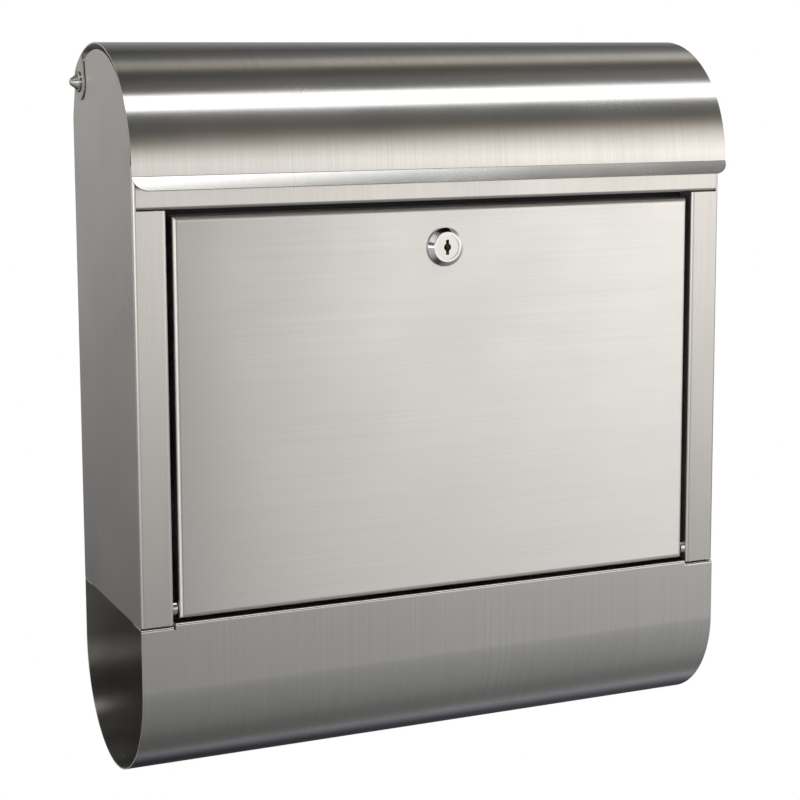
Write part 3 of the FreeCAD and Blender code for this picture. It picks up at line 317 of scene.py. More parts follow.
class Finishes:
    """Every material of the mailbox, made once and kept by the record's slot name."""

    def __init__(self) -> None:
        """Make the materials."""
        self.by_slot: dict[str, bpy.types.Material] = {
            # Belt ground 1.0 mm panels, grain upright: tall soft reflections.
            "stainless_panel": BrushedSteel("brushed_stainless_box_panel", Grain.UPRIGHT,
                                            light="#D4D2CF", dark="#CDCBC8",
                                            scratch_depth=0.0010).build(),
            # Belt ground before rolling, so the grain runs round the bend: sharp level bands.
            "stainless_lid": BrushedSteel("brushed_stainless_rolled_sheet", Grain.ROLLED,
                                          light="#D2D1CE", dark="#CBCAC7", roughness=0.255,
                                          anisotropy=0.85, scratch_depth=0.0005,
                                          wave_depth=0.035).build(),
            # The door's grain is level: light spreads up and down it.
            "stainless_door": BrushedSteel("brushed_stainless_door", Grain.LEVEL, light="#E4E3E1",
                                           dark="#DDDCDA", roughness=0.32,
                                           scratch_depth=0.0007, wave_depth=0.02).build(),
            # Drawn bar, turned and polished.
            "stainless_bar": PlainFinish("turned_stainless_bar", "#D0CFCC", "#BDBBB7", metallic=1.0,
                                         roughness=0.17, spread=0.04, patch=6.0,
                                         texture_pitch=0.5, texture_depth=0.002).build(),
            # Zinc with a clear passivate: dull silver with a cool bloom.
            "zinc_screw": PlainFinish("zinc_plated_steel", "#C3C7CC", "#A3A8AD", metallic=1.0,
                                      roughness=0.34, spread=0.08, patch=4.0,
                                      texture_pitch=0.4, texture_depth=0.004).build(),
            # Bright chrome on the cast lock bezel.
            "chrome_lock": PlainFinish("bright_chrome_plate", "#D9DADB", "#CCCDCF", metallic=1.0,
                                       roughness=0.07, spread=0.025, patch=8.0,
                                       texture_pitch=2.0, texture_depth=0.003).build(),
            # Satin nickel on the turned plug.
            "nickel_plug": PlainFinish("satin_nickel_plate", "#DBDAD8", "#C9C8C5", metallic=1.0,
                                       roughness=0.18, spread=0.05, patch=3.0,
                                       texture_pitch=0.3, texture_depth=0.002).build(),
            # Stamped brass, coloured a dull dark brown.
            "brass_wafer": PlainFinish("stamped_brass", "#8A7B5C", "#5E5038", metallic=1.0,
                                       roughness=0.42, spread=0.08, patch=2.0,
                                       texture_pitch=0.3, texture_depth=0.003).build(),
            # Moulded nylon: waxy, off white.
            "nylon_bush": PlainFinish("moulded_nylon", "#DEDCD2", "#CFCCBF", metallic=0.0,
                                      roughness=0.45, spread=0.06, patch=5.0,
                                      texture_pitch=0.4, texture_depth=0.010).build(),
            # Black EPDM rubber, matt and faintly dusty. The black strips in the gap above the door
            # are also painted shade: they darken the gap where only shade falls.
            "rubber_buffer": PlainFinish("black_rubber_and_gap_shade", "#2A2A2B", "#17171A", metallic=0.0,
                                         roughness=0.72, spread=0.08, patch=4.0,
                                         texture_pitch=0.5, texture_depth=0.030).build(),
        }
        # The sheared and deburred edge of a sheet: bare and coarse, and its lighter, yellowish
        # colour is a painted highlight that draws a bright line along the rims.
        self.edge = PlainFinish("sheared_edge_painted_highlight", "#E6E3DB", "#CFCBC2", metallic=1.0,
                                roughness=0.48, spread=0.08, patch=3.0,
                                texture_pitch=0.6, texture_depth=0.020).build()

    def dress_frame(self, frame: dict) -> None:
        """Give every CAD node that is shown its slot's material.
        """
        slots = {}
        for entry in frame["record"]["materials"]:
            for node in entry.get("nodes", []):
                slots[node] = entry["slot"]
        for name, node in frame["nodes"].items():
            own = [m.name.split(".")[0] for m in node.data.materials if m]
            slot = slots.get(name) or next((s for s in own if s in self.by_slot), "stainless_panel")
            node.data.materials.clear()
            node.data.materials.append(self.by_slot[slot])


# ------------------------------------------------------------------ faces by formula
@dataclass
class Faces:
    """Loose four-cornered faces, in millimetres.

    Attributes:
        corners: (n, 4, 3) corner points.
        normals: (n, 4, 3) normals at those corners, outwards.
        zone: (n,) material number of each face.
    """

    corners: np.ndarray
    normals: np.ndarray
    zone: np.ndarray

    @staticmethod
    def joined(groups: list["Faces"]) -> "Faces":
        """All the groups as one."""
        return Faces(
            np.concatenate([g.corners for g in groups]),
            np.concatenate([g.normals for g in groups]),
            np.concatenate([g.zone for g in groups]),
        )

    def mirrored(self) -> "Faces":
        """The same faces on the other side, with X reversed."""
        flip = np.array([-1.0, 1.0, 1.0])
        return Faces(self.corners * flip, self.normals * flip, self.zone)


def unit(vectors: np.ndarray) -> np.ndarray:
    """Vectors over their own lengths."""
    lengths = np.linalg.norm(vectors, axis=-1, keepdims=True)
    return vectors / np.maximum(lengths, 1e-12)


def cells(grid: np.ndarray) -> np.ndarray:
    """The four corners of each cell of a grid, as (rows, columns, 4, 3)."""
    return np.stack([grid[:-1, :-1], grid[1:, :-1], grid[1:, 1:], grid[:-1, 1:]], axis=2)


def grid_faces(points: np.ndarray, normals: np.ndarray, keep: np.ndarray | None = None,
               zone: int = 0) -> Faces:
    """Faces of a grid whose point at row i and column j is a function of two parameters.

    Args:
        points: (rows, columns, 3) places.
        normals: Outward normals, the same shape or one that spreads to it.
        keep: Which cells have a face; all of them if left out.
        zone: Material number.

    Returns:
        One face for each kept cell.
    """
    normals = np.broadcast_to(normals, points.shape)
    keep = np.ones((points.shape[0] - 1, points.shape[1] - 1), bool) if keep is None else keep
    corners = cells(points)[keep]
    return Faces(corners, cells(normals)[keep], np.full(len(corners), zone))


def rim_faces(front: np.ndarray, back: np.ndarray, keep: np.ndarray, zone: int = 1) -> Faces:
    """Faces that close a sheet's edge: every cell side with no kept cell beyond it joins the
    front grid to the back grid, and faces away from the middle of its cell.

    Args:
        front: (rows, columns, 3) places on one face of the sheet.
        back: The same places on its other face.
        keep: Which cells exist.
        zone: Material number.

    Returns:
        The faces round every outline and hole.
    """
    padded = np.pad(keep, 1)
    inner_front, inner_back = cells(front), cells(back)
    sides = [
        (padded[:-2, 1:-1], (3, 0)),
        (padded[2:, 1:-1], (1, 2)),
        (padded[1:-1, :-2], (0, 1)),
        (padded[1:-1, 2:], (2, 3)),
    ]
    corners, outward = [], []
    for beyond, (first, last) in sides:
        edge = keep & ~beyond
        a, b = inner_front[edge][:, first], inner_front[edge][:, last]
        c, d = inner_back[edge][:, last], inner_back[edge][:, first]
        corners.append(np.stack([a, b, c, d], axis=1))
        outward.append((a + b) / 2 - inner_front[edge].mean(axis=1))
    corners, outward = np.concatenate(corners), np.concatenate(outward)
    flat = unit(np.cross(corners[:, 2] - corners[:, 0], corners[:, 3] - corners[:, 1]))
    flat *= np.where((flat * outward).sum(axis=1) < 0, -1.0, 1.0)[:, None]
    return Faces(corners, np.repeat(flat[:, None], 4, axis=1), np.full(len(corners), zone))


def sheet_faces(front: np.ndarray, back: np.ndarray, normals: np.ndarray,
                keep: np.ndarray | None = None) -> Faces:
    """A closed sheet: its front face, its back face and the edge between them.

    Args:
        front: (rows, columns, 3) places on the outer face.
        back: The same places on the inner face.
        normals: Outward normals of the outer face.
        keep: Which cells exist; all of them if left out.

    Returns:
        The closed sheet.
    """
    normals = np.broadcast_to(normals, front.shape)
    keep = np.ones((front.shape[0] - 1, front.shape[1] - 1), bool) if keep is None else keep
    return Faces.joined([
        grid_faces(front, normals, keep),
        grid_faces(back, -normals, keep),
        rim_faces(front, back, keep),
    ])


def arc_path(centre: tuple[float, float], radius: float, start: float, end: float,
             steps: int) -> tuple[np.ndarray, np.ndarray]:
    """An arc: the centre plus the radius along (cos, sin) of an angle that runs evenly.

    Args:
        centre: Centre of the arc.
        radius: Its radius.
        start: First angle in degrees.
        end: Last angle in degrees.
        steps: Spans.

    Returns:
        Points (steps + 1, 2) and unit normals away from the centre.
    """
    angles = np.radians(np.linspace(start, end, steps + 1))
    outward = np.stack([np.cos(angles), np.sin(angles)], axis=1)
    return np.array(centre) + radius * outward, outward


def across_x(path: np.ndarray, half_widths: np.ndarray | float, spread: np.ndarray) -> np.ndarray:
    """A (y, z) path carried along X: the point at row i and column j is
    (half width at i times spread at j, y at i, z at i).

    Args:
        path: (n, 2) points.
        half_widths: Half width of each row, or one for all.
        spread: (m,) values from -1 to 1.

    Returns:
        (n, m, 3) places.
    """
    widths = np.broadcast_to(np.asarray(half_widths, float), (len(path),))
    x = widths[:, None] * spread[None, :]
    return np.stack([x, *(np.broadcast_to(path[:, k, None], x.shape) for k in (0, 1))], axis=2)


def yz_normals(normals: np.ndarray, columns: int) -> np.ndarray:
    """Normals of a (y, z) path, spread over the columns of a grid along X."""
    flat = np.concatenate([np.zeros((len(normals), 1)), normals], axis=1)
    return np.repeat(flat[:, None, :], columns, axis=1)


def make_piece(name: str, faces: Faces, materials: list[bpy.types.Material]) -> bpy.types.Object:
    """Weld loose faces into one closed mesh that keeps its formula's normals.

    Args:
        name: The piece's name.
        faces: Its faces in millimetres, heights above the box floor.
        materials: Materials by zone number.

    Returns:
        The object, at the origin, with its place in its mesh.
    """
    corners, normals = faces.corners.copy(), faces.normals.copy()
    geometric = np.cross(corners[:, 2] - corners[:, 0], corners[:, 3] - corners[:, 1])
    inward = (geometric * normals.sum(axis=1)).sum(axis=1) < 0
    corners[inward], normals[inward] = corners[inward][:, ::-1], normals[inward][:, ::-1]
    flat = corners.reshape(-1, 3) - np.array([0.0, 0.0, FLOOR_BELOW_ORIGIN])
    points, index = np.unique(np.round(flat, 4), axis=0, return_inverse=True)
    index = index.reshape(-1, 4)
    distinct = index != np.roll(index, -1, axis=1)
    sizes = distinct.sum(axis=1)
    real = sizes >= 3
    loops = index[real][distinct[real]]
    loop_normals = unit(normals[real][distinct[real]])
    starts = np.concatenate([[0], np.cumsum(sizes[real])[:-1]])

    mesh = bpy.data.meshes.new(name)
    mesh.vertices.add(len(points))
    mesh.vertices.foreach_set("co", (points * MILLIMETRE).astype(np.float32).ravel())
    mesh.loops.add(len(loops))
    mesh.loops.foreach_set("vertex_index", loops.astype(np.int32))
    mesh.polygons.add(len(starts))
    mesh.polygons.foreach_set("loop_start", starts.astype(np.int32))
    for material in materials:
        mesh.materials.append(material)
    zones = np.minimum(faces.zone[real], len(materials) - 1)
    mesh.polygons.foreach_set("material_index", zones.astype(np.int32))
    mesh.polygons.foreach_set("use_smooth", np.ones(len(starts), bool))
    mesh.update(calc_edges=True)
    if mesh.validate():
        log.warning("%s had faces that had to be mended", name)
    else:
        mesh.normals_split_custom_set(loop_normals.tolist())
    piece = bpy.data.objects.new(name, mesh)
    bpy.context.scene.collection.objects.link(piece)
    return piece


def install(piece: bpy.types.Object, body: Body, slot: str, *nodes: str) -> None:
    """Make a piece ride on its body and stand for its CAD nodes.

    Args:
        piece: The finished piece.
        body: The body it moves with.
        slot: The record's material slot; not used.
        nodes: CAD nodes that it stands for.
    """
    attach(piece, body.value)
    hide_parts(*nodes)
    log.info("%s: %d faces on %s", piece.name, len(piece.data.polygons), body.value)


# ------------------------------------------------------------------ the lid
@dataclass
class Lid:
    """Rolled lid with a finger lip along its front and an ear at each end."""

    half_width: float = 191.2
    steel: float = 0.8
    radius: float = 73.518
    centre: tuple[float, float] = (-57.482, 257.0)
    rear_angle: float = 61.0
    bend: float = 1.0
    lip_slopes: tuple[float, float] = (31.6, 30.35)
    lip_length: float = 8.5
    lip_corner: float = 8.5
    pivot: tuple[float, float] = (-20.5, 307.53)
    pivot_angle: float = 53.8
    ear_radius: float = 10.9
    ear_root_angle: float = 66.5
    rod_radius: float = 3.0
    columns: int = 96
    arc_steps: int = 220
    bend_steps: int = 8
    # Ears stay a hair inside the lid's own faces.
    ear_step: float = 0.01

    def lip_and_arc(self) -> tuple[np.ndarray, np.ndarray, np.ndarray]:
        """The outer face's section: an arc, a small reversed bend, and a lip whose slope
        changes evenly along it and whose half width falls off as a quarter circle.

        Returns:
            (y, z) points, outward normals, and the half width at each.
        """
        arc, arc_normals = arc_path(self.centre, self.radius, self.rear_angle, 180.0,
                                    self.arc_steps)
        bend_centre = (self.centre[0] - self.radius - self.bend, self.centre[1])
        first, last = np.radians(self.lip_slopes)
        bend, away = arc_path(bend_centre, self.bend, 0.0, -self.lip_slopes[0],
                              self.bend_steps)
        quarter = np.linspace(0.0, math.pi / 2, 17)
        straight = self.lip_length - self.lip_corner
        reach = straight + self.lip_corner * np.sin(quarter)
        turned = (last - first) * reach / self.lip_length
        radius = self.lip_length / (last - first)
        drop = np.stack([np.cos(first + turned) - math.cos(first),
                         math.sin(first) - np.sin(first + turned)], axis=1)
        lip = bend[-1] + radius * drop
        lip_normals = np.stack([-np.cos(first + turned), np.sin(first + turned)], axis=1)
        narrowing = self.lip_corner * (1 - np.cos(quarter))
        widths = np.concatenate([np.full(len(arc) + len(bend) - 1, self.half_width),
                                 self.half_width - narrowing])
        path = np.concatenate([arc, bend[1:], lip])
        normals = np.concatenate([arc_normals, -away[1:], lip_normals])
        return path, normals, widths

    def ear(self) -> Faces:
        """The right ear: a plate round the pivot whose outline, at each angle, is the lid's
        arc, the line that touches the ear's circle, or that circle.

        Returns:
            The plate's faces.
        """
        pivot, centre = np.array(self.pivot), np.array(self.centre)
        root_angle = math.radians(self.ear_root_angle)
        root = centre + self.radius * np.array([math.cos(root_angle), math.sin(root_angle)]) - pivot
        root_direction = math.atan2(root[1], root[0])
        touch = root_direction + math.acos(self.ear_radius / np.linalg.norm(root))
        first = math.radians(self.pivot_angle)
        angles = np.concatenate([
            np.linspace(first, root_direction, 25)[:-1],
            np.linspace(root_direction, touch, 13)[:-1],
            np.linspace(touch, first + 2 * math.pi, 73),
        ])
        outward = np.stack([np.cos(angles), np.sin(angles)], axis=1)
        offset = pivot - centre
        along = outward @ offset
        on_arc = -along + np.sqrt(along ** 2 - offset @ offset + (self.radius - self.ear_step) ** 2)
        on_line = self.ear_radius / np.cos(np.minimum(angles - touch, 0.0))
        beyond_root = np.where(angles < touch, on_line, self.ear_radius)
        reach = np.where(angles < root_direction, on_arc, beyond_root)
        share = np.linspace(0.0, 1.0, 5)[:, None]
        radii = self.rod_radius + share * (reach - self.rod_radius)[None]
        y = pivot[0] + radii * outward[:, 0]
        z = pivot[1] + radii * outward[:, 1]
        outer_x = self.half_width - self.ear_step / 2
        front = np.stack([np.full(y.shape, outer_x), y, z], axis=2)
        back = np.stack([np.full(y.shape, self.half_width - self.steel), y, z], axis=2)
        return sheet_faces(front, back, np.array([1.0, 0.0, 0.0]))

    def build(self, finishes: Finishes) -> None:
        """Make the lid and put it in place.

        Args:
            finishes: The mailbox's materials.
        """
        path, normals, widths = self.lip_and_arc()
        spread = np.linspace(-1.0, 1.0, self.columns + 1)
        grid_normals = yz_normals(normals, len(spread))
        front = across_x(path, widths, spread)
        back = front - self.steel * grid_normals
        ear = self.ear()
        faces = Faces.joined([sheet_faces(front, back, grid_normals), ear, ear.mirrored()])
        piece = make_piece("lid_rolled_sheet", faces,
                           [finishes.by_slot["stainless_lid"], finishes.edge])
        install(piece, Body.LID, "stainless_lid", "lid_shell")


# ------------------------------------------------------------------ the newspaper roll
@dataclass
class NewspaperRoll:
    """One sheet bent to a U, with a flange under the floor and a sill in the door opening."""

    half_width: float = 190.0
    depth: float = 126.0
    steel: float = 0.8
    straight: float = 38.0
    fold: float = 1.0
    flange: float = 16.0
    sill_top: float = 0.8
    sill_fold: float = 1.6
    sill_return: float = 8.0
    sill_half_width: float = 169.6
    tab_start: float = 170.9
    floor_sheet: float = 1.0
    arc_steps: int = 240
    bend_steps: int = 8

    def build(self, finishes: Finishes) -> None:
        """Make the roll and put it in place.

        Args:
            finishes: The mailbox's materials.
        """
        outer = self.depth / 2
        centre = (-outer, -self.straight)
        shoulder = -self.floor_sheet - self.fold - self.steel
        bend, bend_normals = arc_path(centre, outer, 180.0, 360.0, self.arc_steps)
        rear_centre = (-(self.fold + self.steel), shoulder)
        rear, rear_normals = arc_path(rear_centre, self.fold + self.steel, 0.0, 90.0,
                                      self.bend_steps)
        sill_centre = (-self.depth + self.sill_fold, self.sill_top - self.sill_fold)
        sill, sill_normals = arc_path(sill_centre, self.sill_fold, 90.0, 180.0,
                                      self.bend_steps)
        sill_end = np.array([[-self.depth + self.sill_return, self.sill_top]])
        front_line = np.array([[-self.depth, shoulder]])
        rear_end = np.array([[-self.flange, -self.floor_sheet]])
        path = np.concatenate([sill_end, sill, front_line, bend, rear, rear_end])
        normals = np.concatenate([[[0.0, 1.0]], sill_normals, [[-1.0, 0.0]], bend_normals,
                                  rear_normals, [[0.0, 1.0]]])
        middle = np.linspace(-self.sill_half_width, self.sill_half_width, 89)
        ends = np.linspace(self.sill_half_width, self.half_width, 7)[1:]
        x = np.concatenate([-ends[::-1], middle, ends]) / self.half_width
        front = across_x(path, self.half_width, x)
        grid_normals = yz_normals(normals, len(x))
        keep = np.ones((len(path) - 1, len(x) - 1), bool)
        keep[:len(sill) + 1] = np.abs((x[:-1] + x[1:]) / 2) * self.half_width < self.sill_half_width
        body = sheet_faces(front, front - self.steel * grid_normals, grid_normals, keep)

        # The tab under a stile: the front wall folded in below the floor.
        fold_centre = (-self.depth + self.fold + self.steel, shoulder)
        tab_bend, tab_normals = arc_path(fold_centre, self.fold + self.steel, 180.0, 90.0,
                                         self.bend_steps)
        tab_path = np.concatenate([tab_bend, [[-self.depth + self.flange, -self.floor_sheet]]])
        tab_normals = np.concatenate([tab_normals, [[0.0, 1.0]]])
        tab_x = np.linspace(self.tab_start, self.half_width, 5)
        tab_front = across_x(tab_path, 1.0, tab_x)
        tab_grid = yz_normals(tab_normals, len(tab_x))
        tab = sheet_faces(tab_front, tab_front - self.steel * tab_grid, tab_grid)
        faces = Faces.joined([body, tab, tab.mirrored()])
        piece = make_piece("newspaper_roll_sheet", faces,
                           [finishes.by_slot["stainless_lid"], finishes.edge])
        install(piece, Body.HOUSING, "stainless_lid", "newspaper_roll")


# ------------------------------------------------------------------ the door
@dataclass
class Door:
    """Folded tray with soft front folds, mitred corners and a hole for the lock."""

    half_width: float = 167.3
    foot: float = 2.9
    top: float = 233.8
    front: float = -126.0
    depth: float = 14.0
    fold: float = 3.2
    steel: float = 0.8
    lock_height: float = 210.0
    lock_hole: float = 9.0
    patch: float = 14.0
    patch_spans: int = 8
    columns: int = 30
    rows_below: int = 30
    rows_above: int = 3
    edge_lean: float = 3.0

    def face(self, y: float, normal: float) -> tuple[Faces, np.ndarray]:
        """The flat front, as a grid with a square left out round the lock, and a ring there
        whose points run straight from the square to the hole.

        Args:
            y: Where the face lies.
            normal: -1 for the outer face, 1 for the inner one.

        Returns:
            The faces and the hole's rim points.
        """
        reach = self.half_width - self.fold
        low, high = self.foot + self.fold, self.top - self.fold
        square = np.linspace(-self.patch, self.patch, self.patch_spans + 1)
        x = np.concatenate([np.linspace(-reach, -self.patch, self.columns + 1)[:-1], square,
                            np.linspace(self.patch, reach, self.columns + 1)[1:]])
        under, over = self.lock_height - self.patch, self.lock_height + self.patch
        z = np.concatenate([np.linspace(low, under, self.rows_below + 1)[:-1],
                            self.lock_height + square,
                            np.linspace(over, high, self.rows_above + 1)[1:]])
        grid = np.stack([*np.broadcast_arrays(x[None, :], y, z[:, None])], axis=2).astype(float)
        inside = ((np.abs(x[:-1] + x[1:]) / 2 < self.patch)[None, :]
                  & (np.abs((z[:-1] + z[1:]) / 2 - self.lock_height) < self.patch)[:, None])
        towards = np.array([0.0, normal, 0.0])
        # Near the side folds the outer face's shading normals lean outwards by up to edge_lean
        # degrees; the sheet itself stays flat.
        lean = np.zeros_like(grid)
        lean[..., 0] = (math.tan(math.radians(self.edge_lean)) * (x / reach) ** 3)[None, :]
        edge = square[:-1]
        wall = np.full(self.patch_spans, self.patch)
        border = np.concatenate([
            np.stack([edge, -wall], axis=1), np.stack([wall, edge], axis=1),
            np.stack([-edge, wall], axis=1), np.stack([-wall, -edge], axis=1),
        ])
        border = np.concatenate([border, border[:1]])
        share = np.linspace(0.0, 1.0, 5)[:, None, None]
        ring = (1 - share) * border + share * self.lock_hole * unit(border)
        ring = np.stack([ring[..., 0], np.full(ring.shape[:2], y),
                         ring[..., 1] + self.lock_height], axis=2)
        flat = unit(towards + lean) if normal < 0 else towards
        faces = Faces.joined([grid_faces(grid, flat, ~inside), grid_faces(ring, towards)])
        return faces, ring[-1]

    def flanges(self) -> list[Faces]:
        """The four folds and flanges. At fold angle a, the outer face's half sizes are the flat
        part's plus the radius times sin a, and its depth is the radius times (1 - cos a);
        each side spans its neighbours' half size, so the corners meet in a mitre.

        Returns:
            The four sides, closed at the back.
        """
        angles = np.linspace(0.0, math.pi / 2, 11)
        sine = np.append(np.sin(angles), 1.0)
        cosine = np.append(np.cos(angles), 0.0)
        y_outer = self.front + np.append(self.fold * (1 - np.cos(angles)), self.depth)
        grown = self.fold * sine
        half_high = (self.top - self.foot) / 2
        middle = (self.top + self.foot) / 2
        spread = np.linspace(-1.0, 1.0, 49)
        groups = []
        for upright, side in ((False, 1), (False, -1), (True, 1), (True, -1)):
            layers = []
            for inset in (0.0, self.steel):
                wide = self.half_width - self.fold + grown - inset * sine
                high = half_high - self.fold + grown - inset * sine
                y = y_outer + inset * cosine
                run, out = (high, wide) if upright else (wide, high)
                along = run[:, None] * spread
                away = np.broadcast_to(side * out[:, None], along.shape)
                deep = np.broadcast_to(y[:, None], along.shape)
                order = (away, deep, along + middle) if upright else (along, deep, away + middle)
                layers.append(np.stack(order, axis=2))
            zero = np.zeros(len(sine))
            order = (side * sine, -cosine, zero) if upright else (zero, -cosine, side * sine)
            normals = np.repeat(np.stack(order, axis=1)[:, None], len(spread), axis=1)
            back_edge = np.stack([layers[0][-1], layers[1][-1]])
            groups += [grid_faces(layers[0], normals), grid_faces(layers[1], -normals),
                       grid_faces(back_edge, np.array([0.0, 1.0, 0.0]), zone=1)]
        return groups

    def build(self, finishes: Finishes) -> None:
        """Make the door and put it in place.

        Args:
            finishes: The mailbox's materials.
        """
        outer, outer_rim = self.face(self.front, -1.0)
        inner, inner_rim = self.face(self.front + self.steel, 1.0)
        axis = np.array([0.0, self.front, self.lock_height])
        inwards = (axis - outer_rim) * np.array([1.0, 0.0, 1.0])
        bore = grid_faces(np.stack([outer_rim, inner_rim]),
                          unit(np.stack([inwards, inwards])), zone=1)
        faces = Faces.joined([outer, inner, bore, *self.flanges()])
        piece = make_piece("door_folded_tray", faces,
                           [finishes.by_slot["stainless_door"], finishes.edge])
        install(piece, Body.DOOR, "stainless_door", "door_panel")


# ------------------------------------------------------------------ studio
@dataclass
class Studio:
    """Camera, pale floor, an overhead softbox and a room that the steel mirrors.

    The focal length is in the units that make the frame 800 wide; turns are in radians.
    The softbox is in metres, because Blender's lights are.
    """

    focal_length: float = 1930.35
    frame: float = 800.0
    shift: float = -0.10
    yaw: float = 0.41230
    pitch: float = 0.13360
    roll: float = -0.0037
    place: tuple[float, float, float] = (-480.73, -1158.47, 319.33)
    sensor_width: float = 36.0
    clip: tuple[float, float] = (0.05, 60.0)
    floor_height: float = -1100.0
    floor_reach: float = 4.0
    softbox_size: tuple[float, float] = (2.6, 0.425)
    softbox_place: tuple[float, float, float] = (0.60, -0.6415, 1.38)
    softbox_turn: float = 13.2
    softbox_radiance: float = 2.6
    # Light that arrives from each direction round the X axis, in degrees up from straight
    # ahead of the door: 90 is overhead, 180 behind and -90 below.
    room: list[tuple[float, float, float, float]] = field(default_factory=lambda: [
        (-180.0, 0.66, 0.655, 0.64), (-164.0, 0.25, 0.25, 0.25), (-150.0, 0.09, 0.09, 0.09),
        (-127.0, 0.03, 0.03, 0.03), (-121.0, 0.10, 0.10, 0.14), (-115.0, 0.16, 0.16, 0.21),
        (-109.0, 0.36, 0.36, 0.38), (-104.0, 0.36, 0.36, 0.36), (-98.0, 0.17, 0.17, 0.17),
        (-80.0, 0.20, 0.20, 0.20), (-68.0, 0.28, 0.28, 0.28), (-44.0, 0.36, 0.36, 0.355),
        (-22.0, 0.43, 0.43, 0.43), (-17.0, 0.52, 0.52, 0.51), (-13.0, 0.80, 0.79, 0.76),
        (-8.8, 1.17, 1.14, 1.10), (-4.0, 1.42, 1.36, 1.31), (7.0, 1.50, 1.44, 1.38),
        (17.0, 1.10, 1.05, 1.00), (24.0, 0.62, 0.56, 0.50), (29.0, 0.30, 0.25, 0.20),
        (35.0, 0.12, 0.115, 0.105), (48.0, 0.17, 0.17, 0.165), (75.0, 0.17, 0.17, 0.165),
        (89.0, 0.20, 0.19, 0.185), (99.0, 0.08, 0.08, 0.08), (106.0, 0.09, 0.085, 0.07),
        (112.0, 0.60, 0.55, 0.45), (119.0, 0.62, 0.60, 0.58), (126.0, 0.24, 0.24, 0.24),
        (141.0, 0.10, 0.10, 0.10), (180.0, 0.66, 0.655, 0.64)])
    # How that light rises and falls from left (-1) to right (1).
    sideways: list[tuple[float, float]] = field(default_factory=lambda: [
        (-1.0, 1.3), (-0.85, 1.9), (-0.60, 1.5), (-0.42, 0.60), (-0.22, 0.36), (-0.05, 0.42),
        (0.12, 0.42), (0.20, 0.50), (0.27, 0.74), (0.33, 0.86), (0.42, 1.02), (0.50, 1.16),
        (0.56, 1.22), (1.0, 1.15)])
    # Above the horizon the bands rise towards the right: degrees for each unit to the right,
    # growing from none at the first height to all of it at the second.
    slant: float = 50.0
    slant_middle: float = 0.40
    slant_heights: tuple[float, float] = (8.0, 30.0)
    # Both ramps hold half their light, so that no stop is above 1.
    room_strength: float = 4.0

    def camera(self) -> None:
        """Make the camera: its axes come from yaw and pitch, then turn by the small roll."""
        sine, cosine = math.sin(self.yaw), math.cos(self.yaw)
        ahead = Vector((sine * math.cos(self.pitch), cosine * math.cos(self.pitch),
                        -math.sin(self.pitch)))
        level = Vector((cosine, -sine, 0.0))
        upward = level.cross(ahead)
        right = level * math.cos(self.roll) + upward * math.sin(self.roll)
        up = upward * math.cos(self.roll) - level * math.sin(self.roll)
        data = bpy.data.cameras.new("camera")
        data.sensor_width = self.sensor_width
        data.lens = data.sensor_width * self.focal_length / self.frame
        data.shift_y = self.shift
        data.clip_start, data.clip_end = self.clip
        camera = bpy.data.objects.new("camera", data)
        axes = Matrix((right, up, -ahead)).transposed().to_4x4()
        lift = Vector((0.0, 0.0, FLOOR_BELOW_ORIGIN))
        camera.matrix_world = Matrix.Translation((Vector(self.place) - lift) * MILLIMETRE) @ axes
        bpy.context.scene.collection.objects.link(camera)
        bpy.context.scene.camera = camera

    def world(self) -> None:
        """Make the room: seen directly it is plain white; steel mirrors the bands above."""
        world = bpy.data.worlds.new("studio_room")
        world.use_nodes = True
        tree = world.node_tree
        tree.nodes.clear()
        ray = add_node(tree, "ShaderNodeTexCoord").outputs["Generated"]
        parts = add_node(tree, "ShaderNodeSeparateXYZ", inputs={0: ray})
        ahead = add_node(tree, "ShaderNodeMath", {"operation": "MULTIPLY"},
                         {0: parts.outputs[1], 1: -1.0})
        angle = add_node(tree, "ShaderNodeMath", {"operation": "ARCTAN2"},
                         {0: parts.outputs[2], 1: ahead.outputs[0]})
        above = add_node(tree, "ShaderNodeMapRange", inputs={
            "Value": angle.outputs[0], "From Min": math.radians(self.slant_heights[0]),
            "From Max": math.radians(self.slant_heights[1]),
            "To Max": -math.radians(self.slant)})
        aside = add_node(tree, "ShaderNodeMath", {"operation": "SUBTRACT"},
                         {0: parts.outputs[0], 1: self.slant_middle})
        slanted = add_node(tree, "ShaderNodeMath", {"operation": "MULTIPLY_ADD"},
                           {0: above.outputs[0], 1: aside.outputs[0], 2: angle.outputs[0]})
        turn = add_node(tree, "ShaderNodeMapRange", inputs={
            "Value": slanted.outputs[0], "From Min": -math.pi, "From Max": math.pi})
        bands = add_node(tree, "ShaderNodeValToRGB", inputs={0: turn.outputs[0]})
        fill_ramp(bands, [((a + 180) / 360, (r / 2, g / 2, b / 2)) for a, r, g, b in self.room])
        slide = add_node(tree, "ShaderNodeMapRange", inputs={
            "Value": parts.outputs[0], "From Min": -1.0, "From Max": 1.0})
        across = add_node(tree, "ShaderNodeValToRGB", inputs={0: slide.outputs[0]})
        fill_ramp(across, [((x + 1) / 2, (v / 2, v / 2, v / 2)) for x, v in self.sideways])
        room = add_node(tree, "ShaderNodeMix", {"data_type": "RGBA", "blend_type": "MULTIPLY"}, {
            "Factor": 1.0, 6: bands.outputs[0], 7: across.outputs[0]})
        mirrored = add_node(tree, "ShaderNodeBackground", inputs={
            0: room.outputs[2], 1: self.room_strength})
        seen = add_node(tree, "ShaderNodeBackground", inputs={0: (1.0, 1.0, 1.0, 1.0), 1: 1.0})
        path = add_node(tree, "ShaderNodeLightPath")
        mix = add_node(tree, "ShaderNodeMixShader", inputs={
            0: path.outputs["Is Camera Ray"], 1: mirrored.outputs[0], 2: seen.outputs[0]})
        add_node(tree, "ShaderNodeOutputWorld", inputs={0: mix.outputs[0]})
        bpy.context.scene.world = world

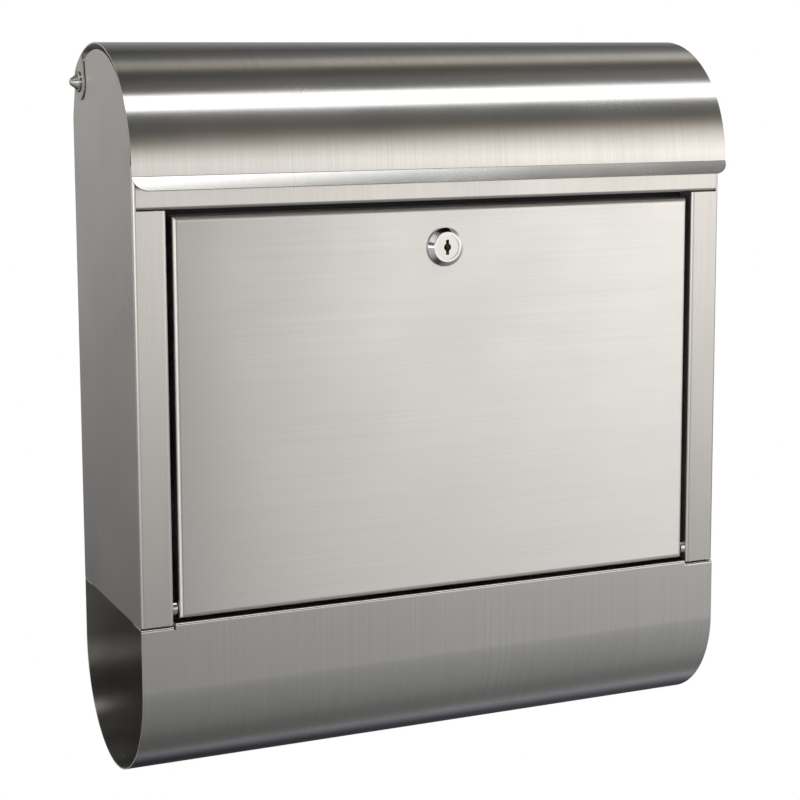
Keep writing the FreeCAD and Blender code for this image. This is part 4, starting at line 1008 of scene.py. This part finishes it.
    def floor(self) -> None:
        """Lay the pale floor, far below a box that hangs at the height of a hand."""
        mesh = bpy.data.meshes.new("floor")
        height = (self.floor_height - FLOOR_BELOW_ORIGIN) * MILLIMETRE
        square = [(x * self.floor_reach, y * self.floor_reach, height)
                  for x, y in ((-1, -1), (1, -1), (1, 1), (-1, 1))]
        mesh.from_pydata(square, [], [(0, 1, 2, 3)])
        material = bpy.data.materials.new("pale_floor")
        material.use_nodes = True
        tree = material.node_tree
        tree.nodes.clear()
        paint = add_node(tree, "ShaderNodeBsdfPrincipled", inputs={
            "Base Color": linear("#E8E8E6"), "Roughness": 0.9})
        bright = add_node(tree, "ShaderNodeEmission", inputs={
            "Color": (1.0, 1.0, 1.0, 1.0), "Strength": 1.0})
        path = add_node(tree, "ShaderNodeLightPath")
        mix = add_node(tree, "ShaderNodeMixShader", inputs={
            0: path.outputs["Is Camera Ray"], 1: paint.outputs[0], 2: bright.outputs[0]})
        add_node(tree, "ShaderNodeOutputMaterial", inputs={0: mix.outputs[0]})
        mesh.materials.append(material)
        floor = bpy.data.objects.new("floor", mesh)
        bpy.context.scene.collection.objects.link(floor)
        # Steel mirrors the room's bands in place of the floor.
        floor.visible_glossy = False

    def softbox(self) -> None:
        """Hang the long softbox above the front, which draws the white band on the lid."""
        data = bpy.data.lights.new("overhead_softbox", "AREA")
        data.shape = "RECTANGLE"
        data.size, data.size_y = self.softbox_size
        data.energy = self.softbox_radiance * math.pi * data.size * data.size_y
        light = bpy.data.objects.new("overhead_softbox", data)
        light.location = self.softbox_place
        light.rotation_euler = (0.0, 0.0, math.radians(self.softbox_turn))
        bpy.context.scene.collection.objects.link(light)

    def build(self) -> None:
        """Set up the whole studio."""
        self.camera()
        self.world()
        self.floor()
        self.softbox()
        bpy.context.scene.view_settings.view_transform = "Standard"
        log.info("studio ready")


def main() -> None:
    """Load the frame, dress it, and build each sub-assembly and the studio."""
    logging.basicConfig(level=logging.INFO, format="%(name)s: %(message)s")
    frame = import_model()
    finishes = Finishes()
    finishes.dress_frame(frame)
    for part in (Lid(), NewspaperRoll(), Door()):
        part.build(finishes)
    Studio().build()


if __name__ == "__main__":
    main()
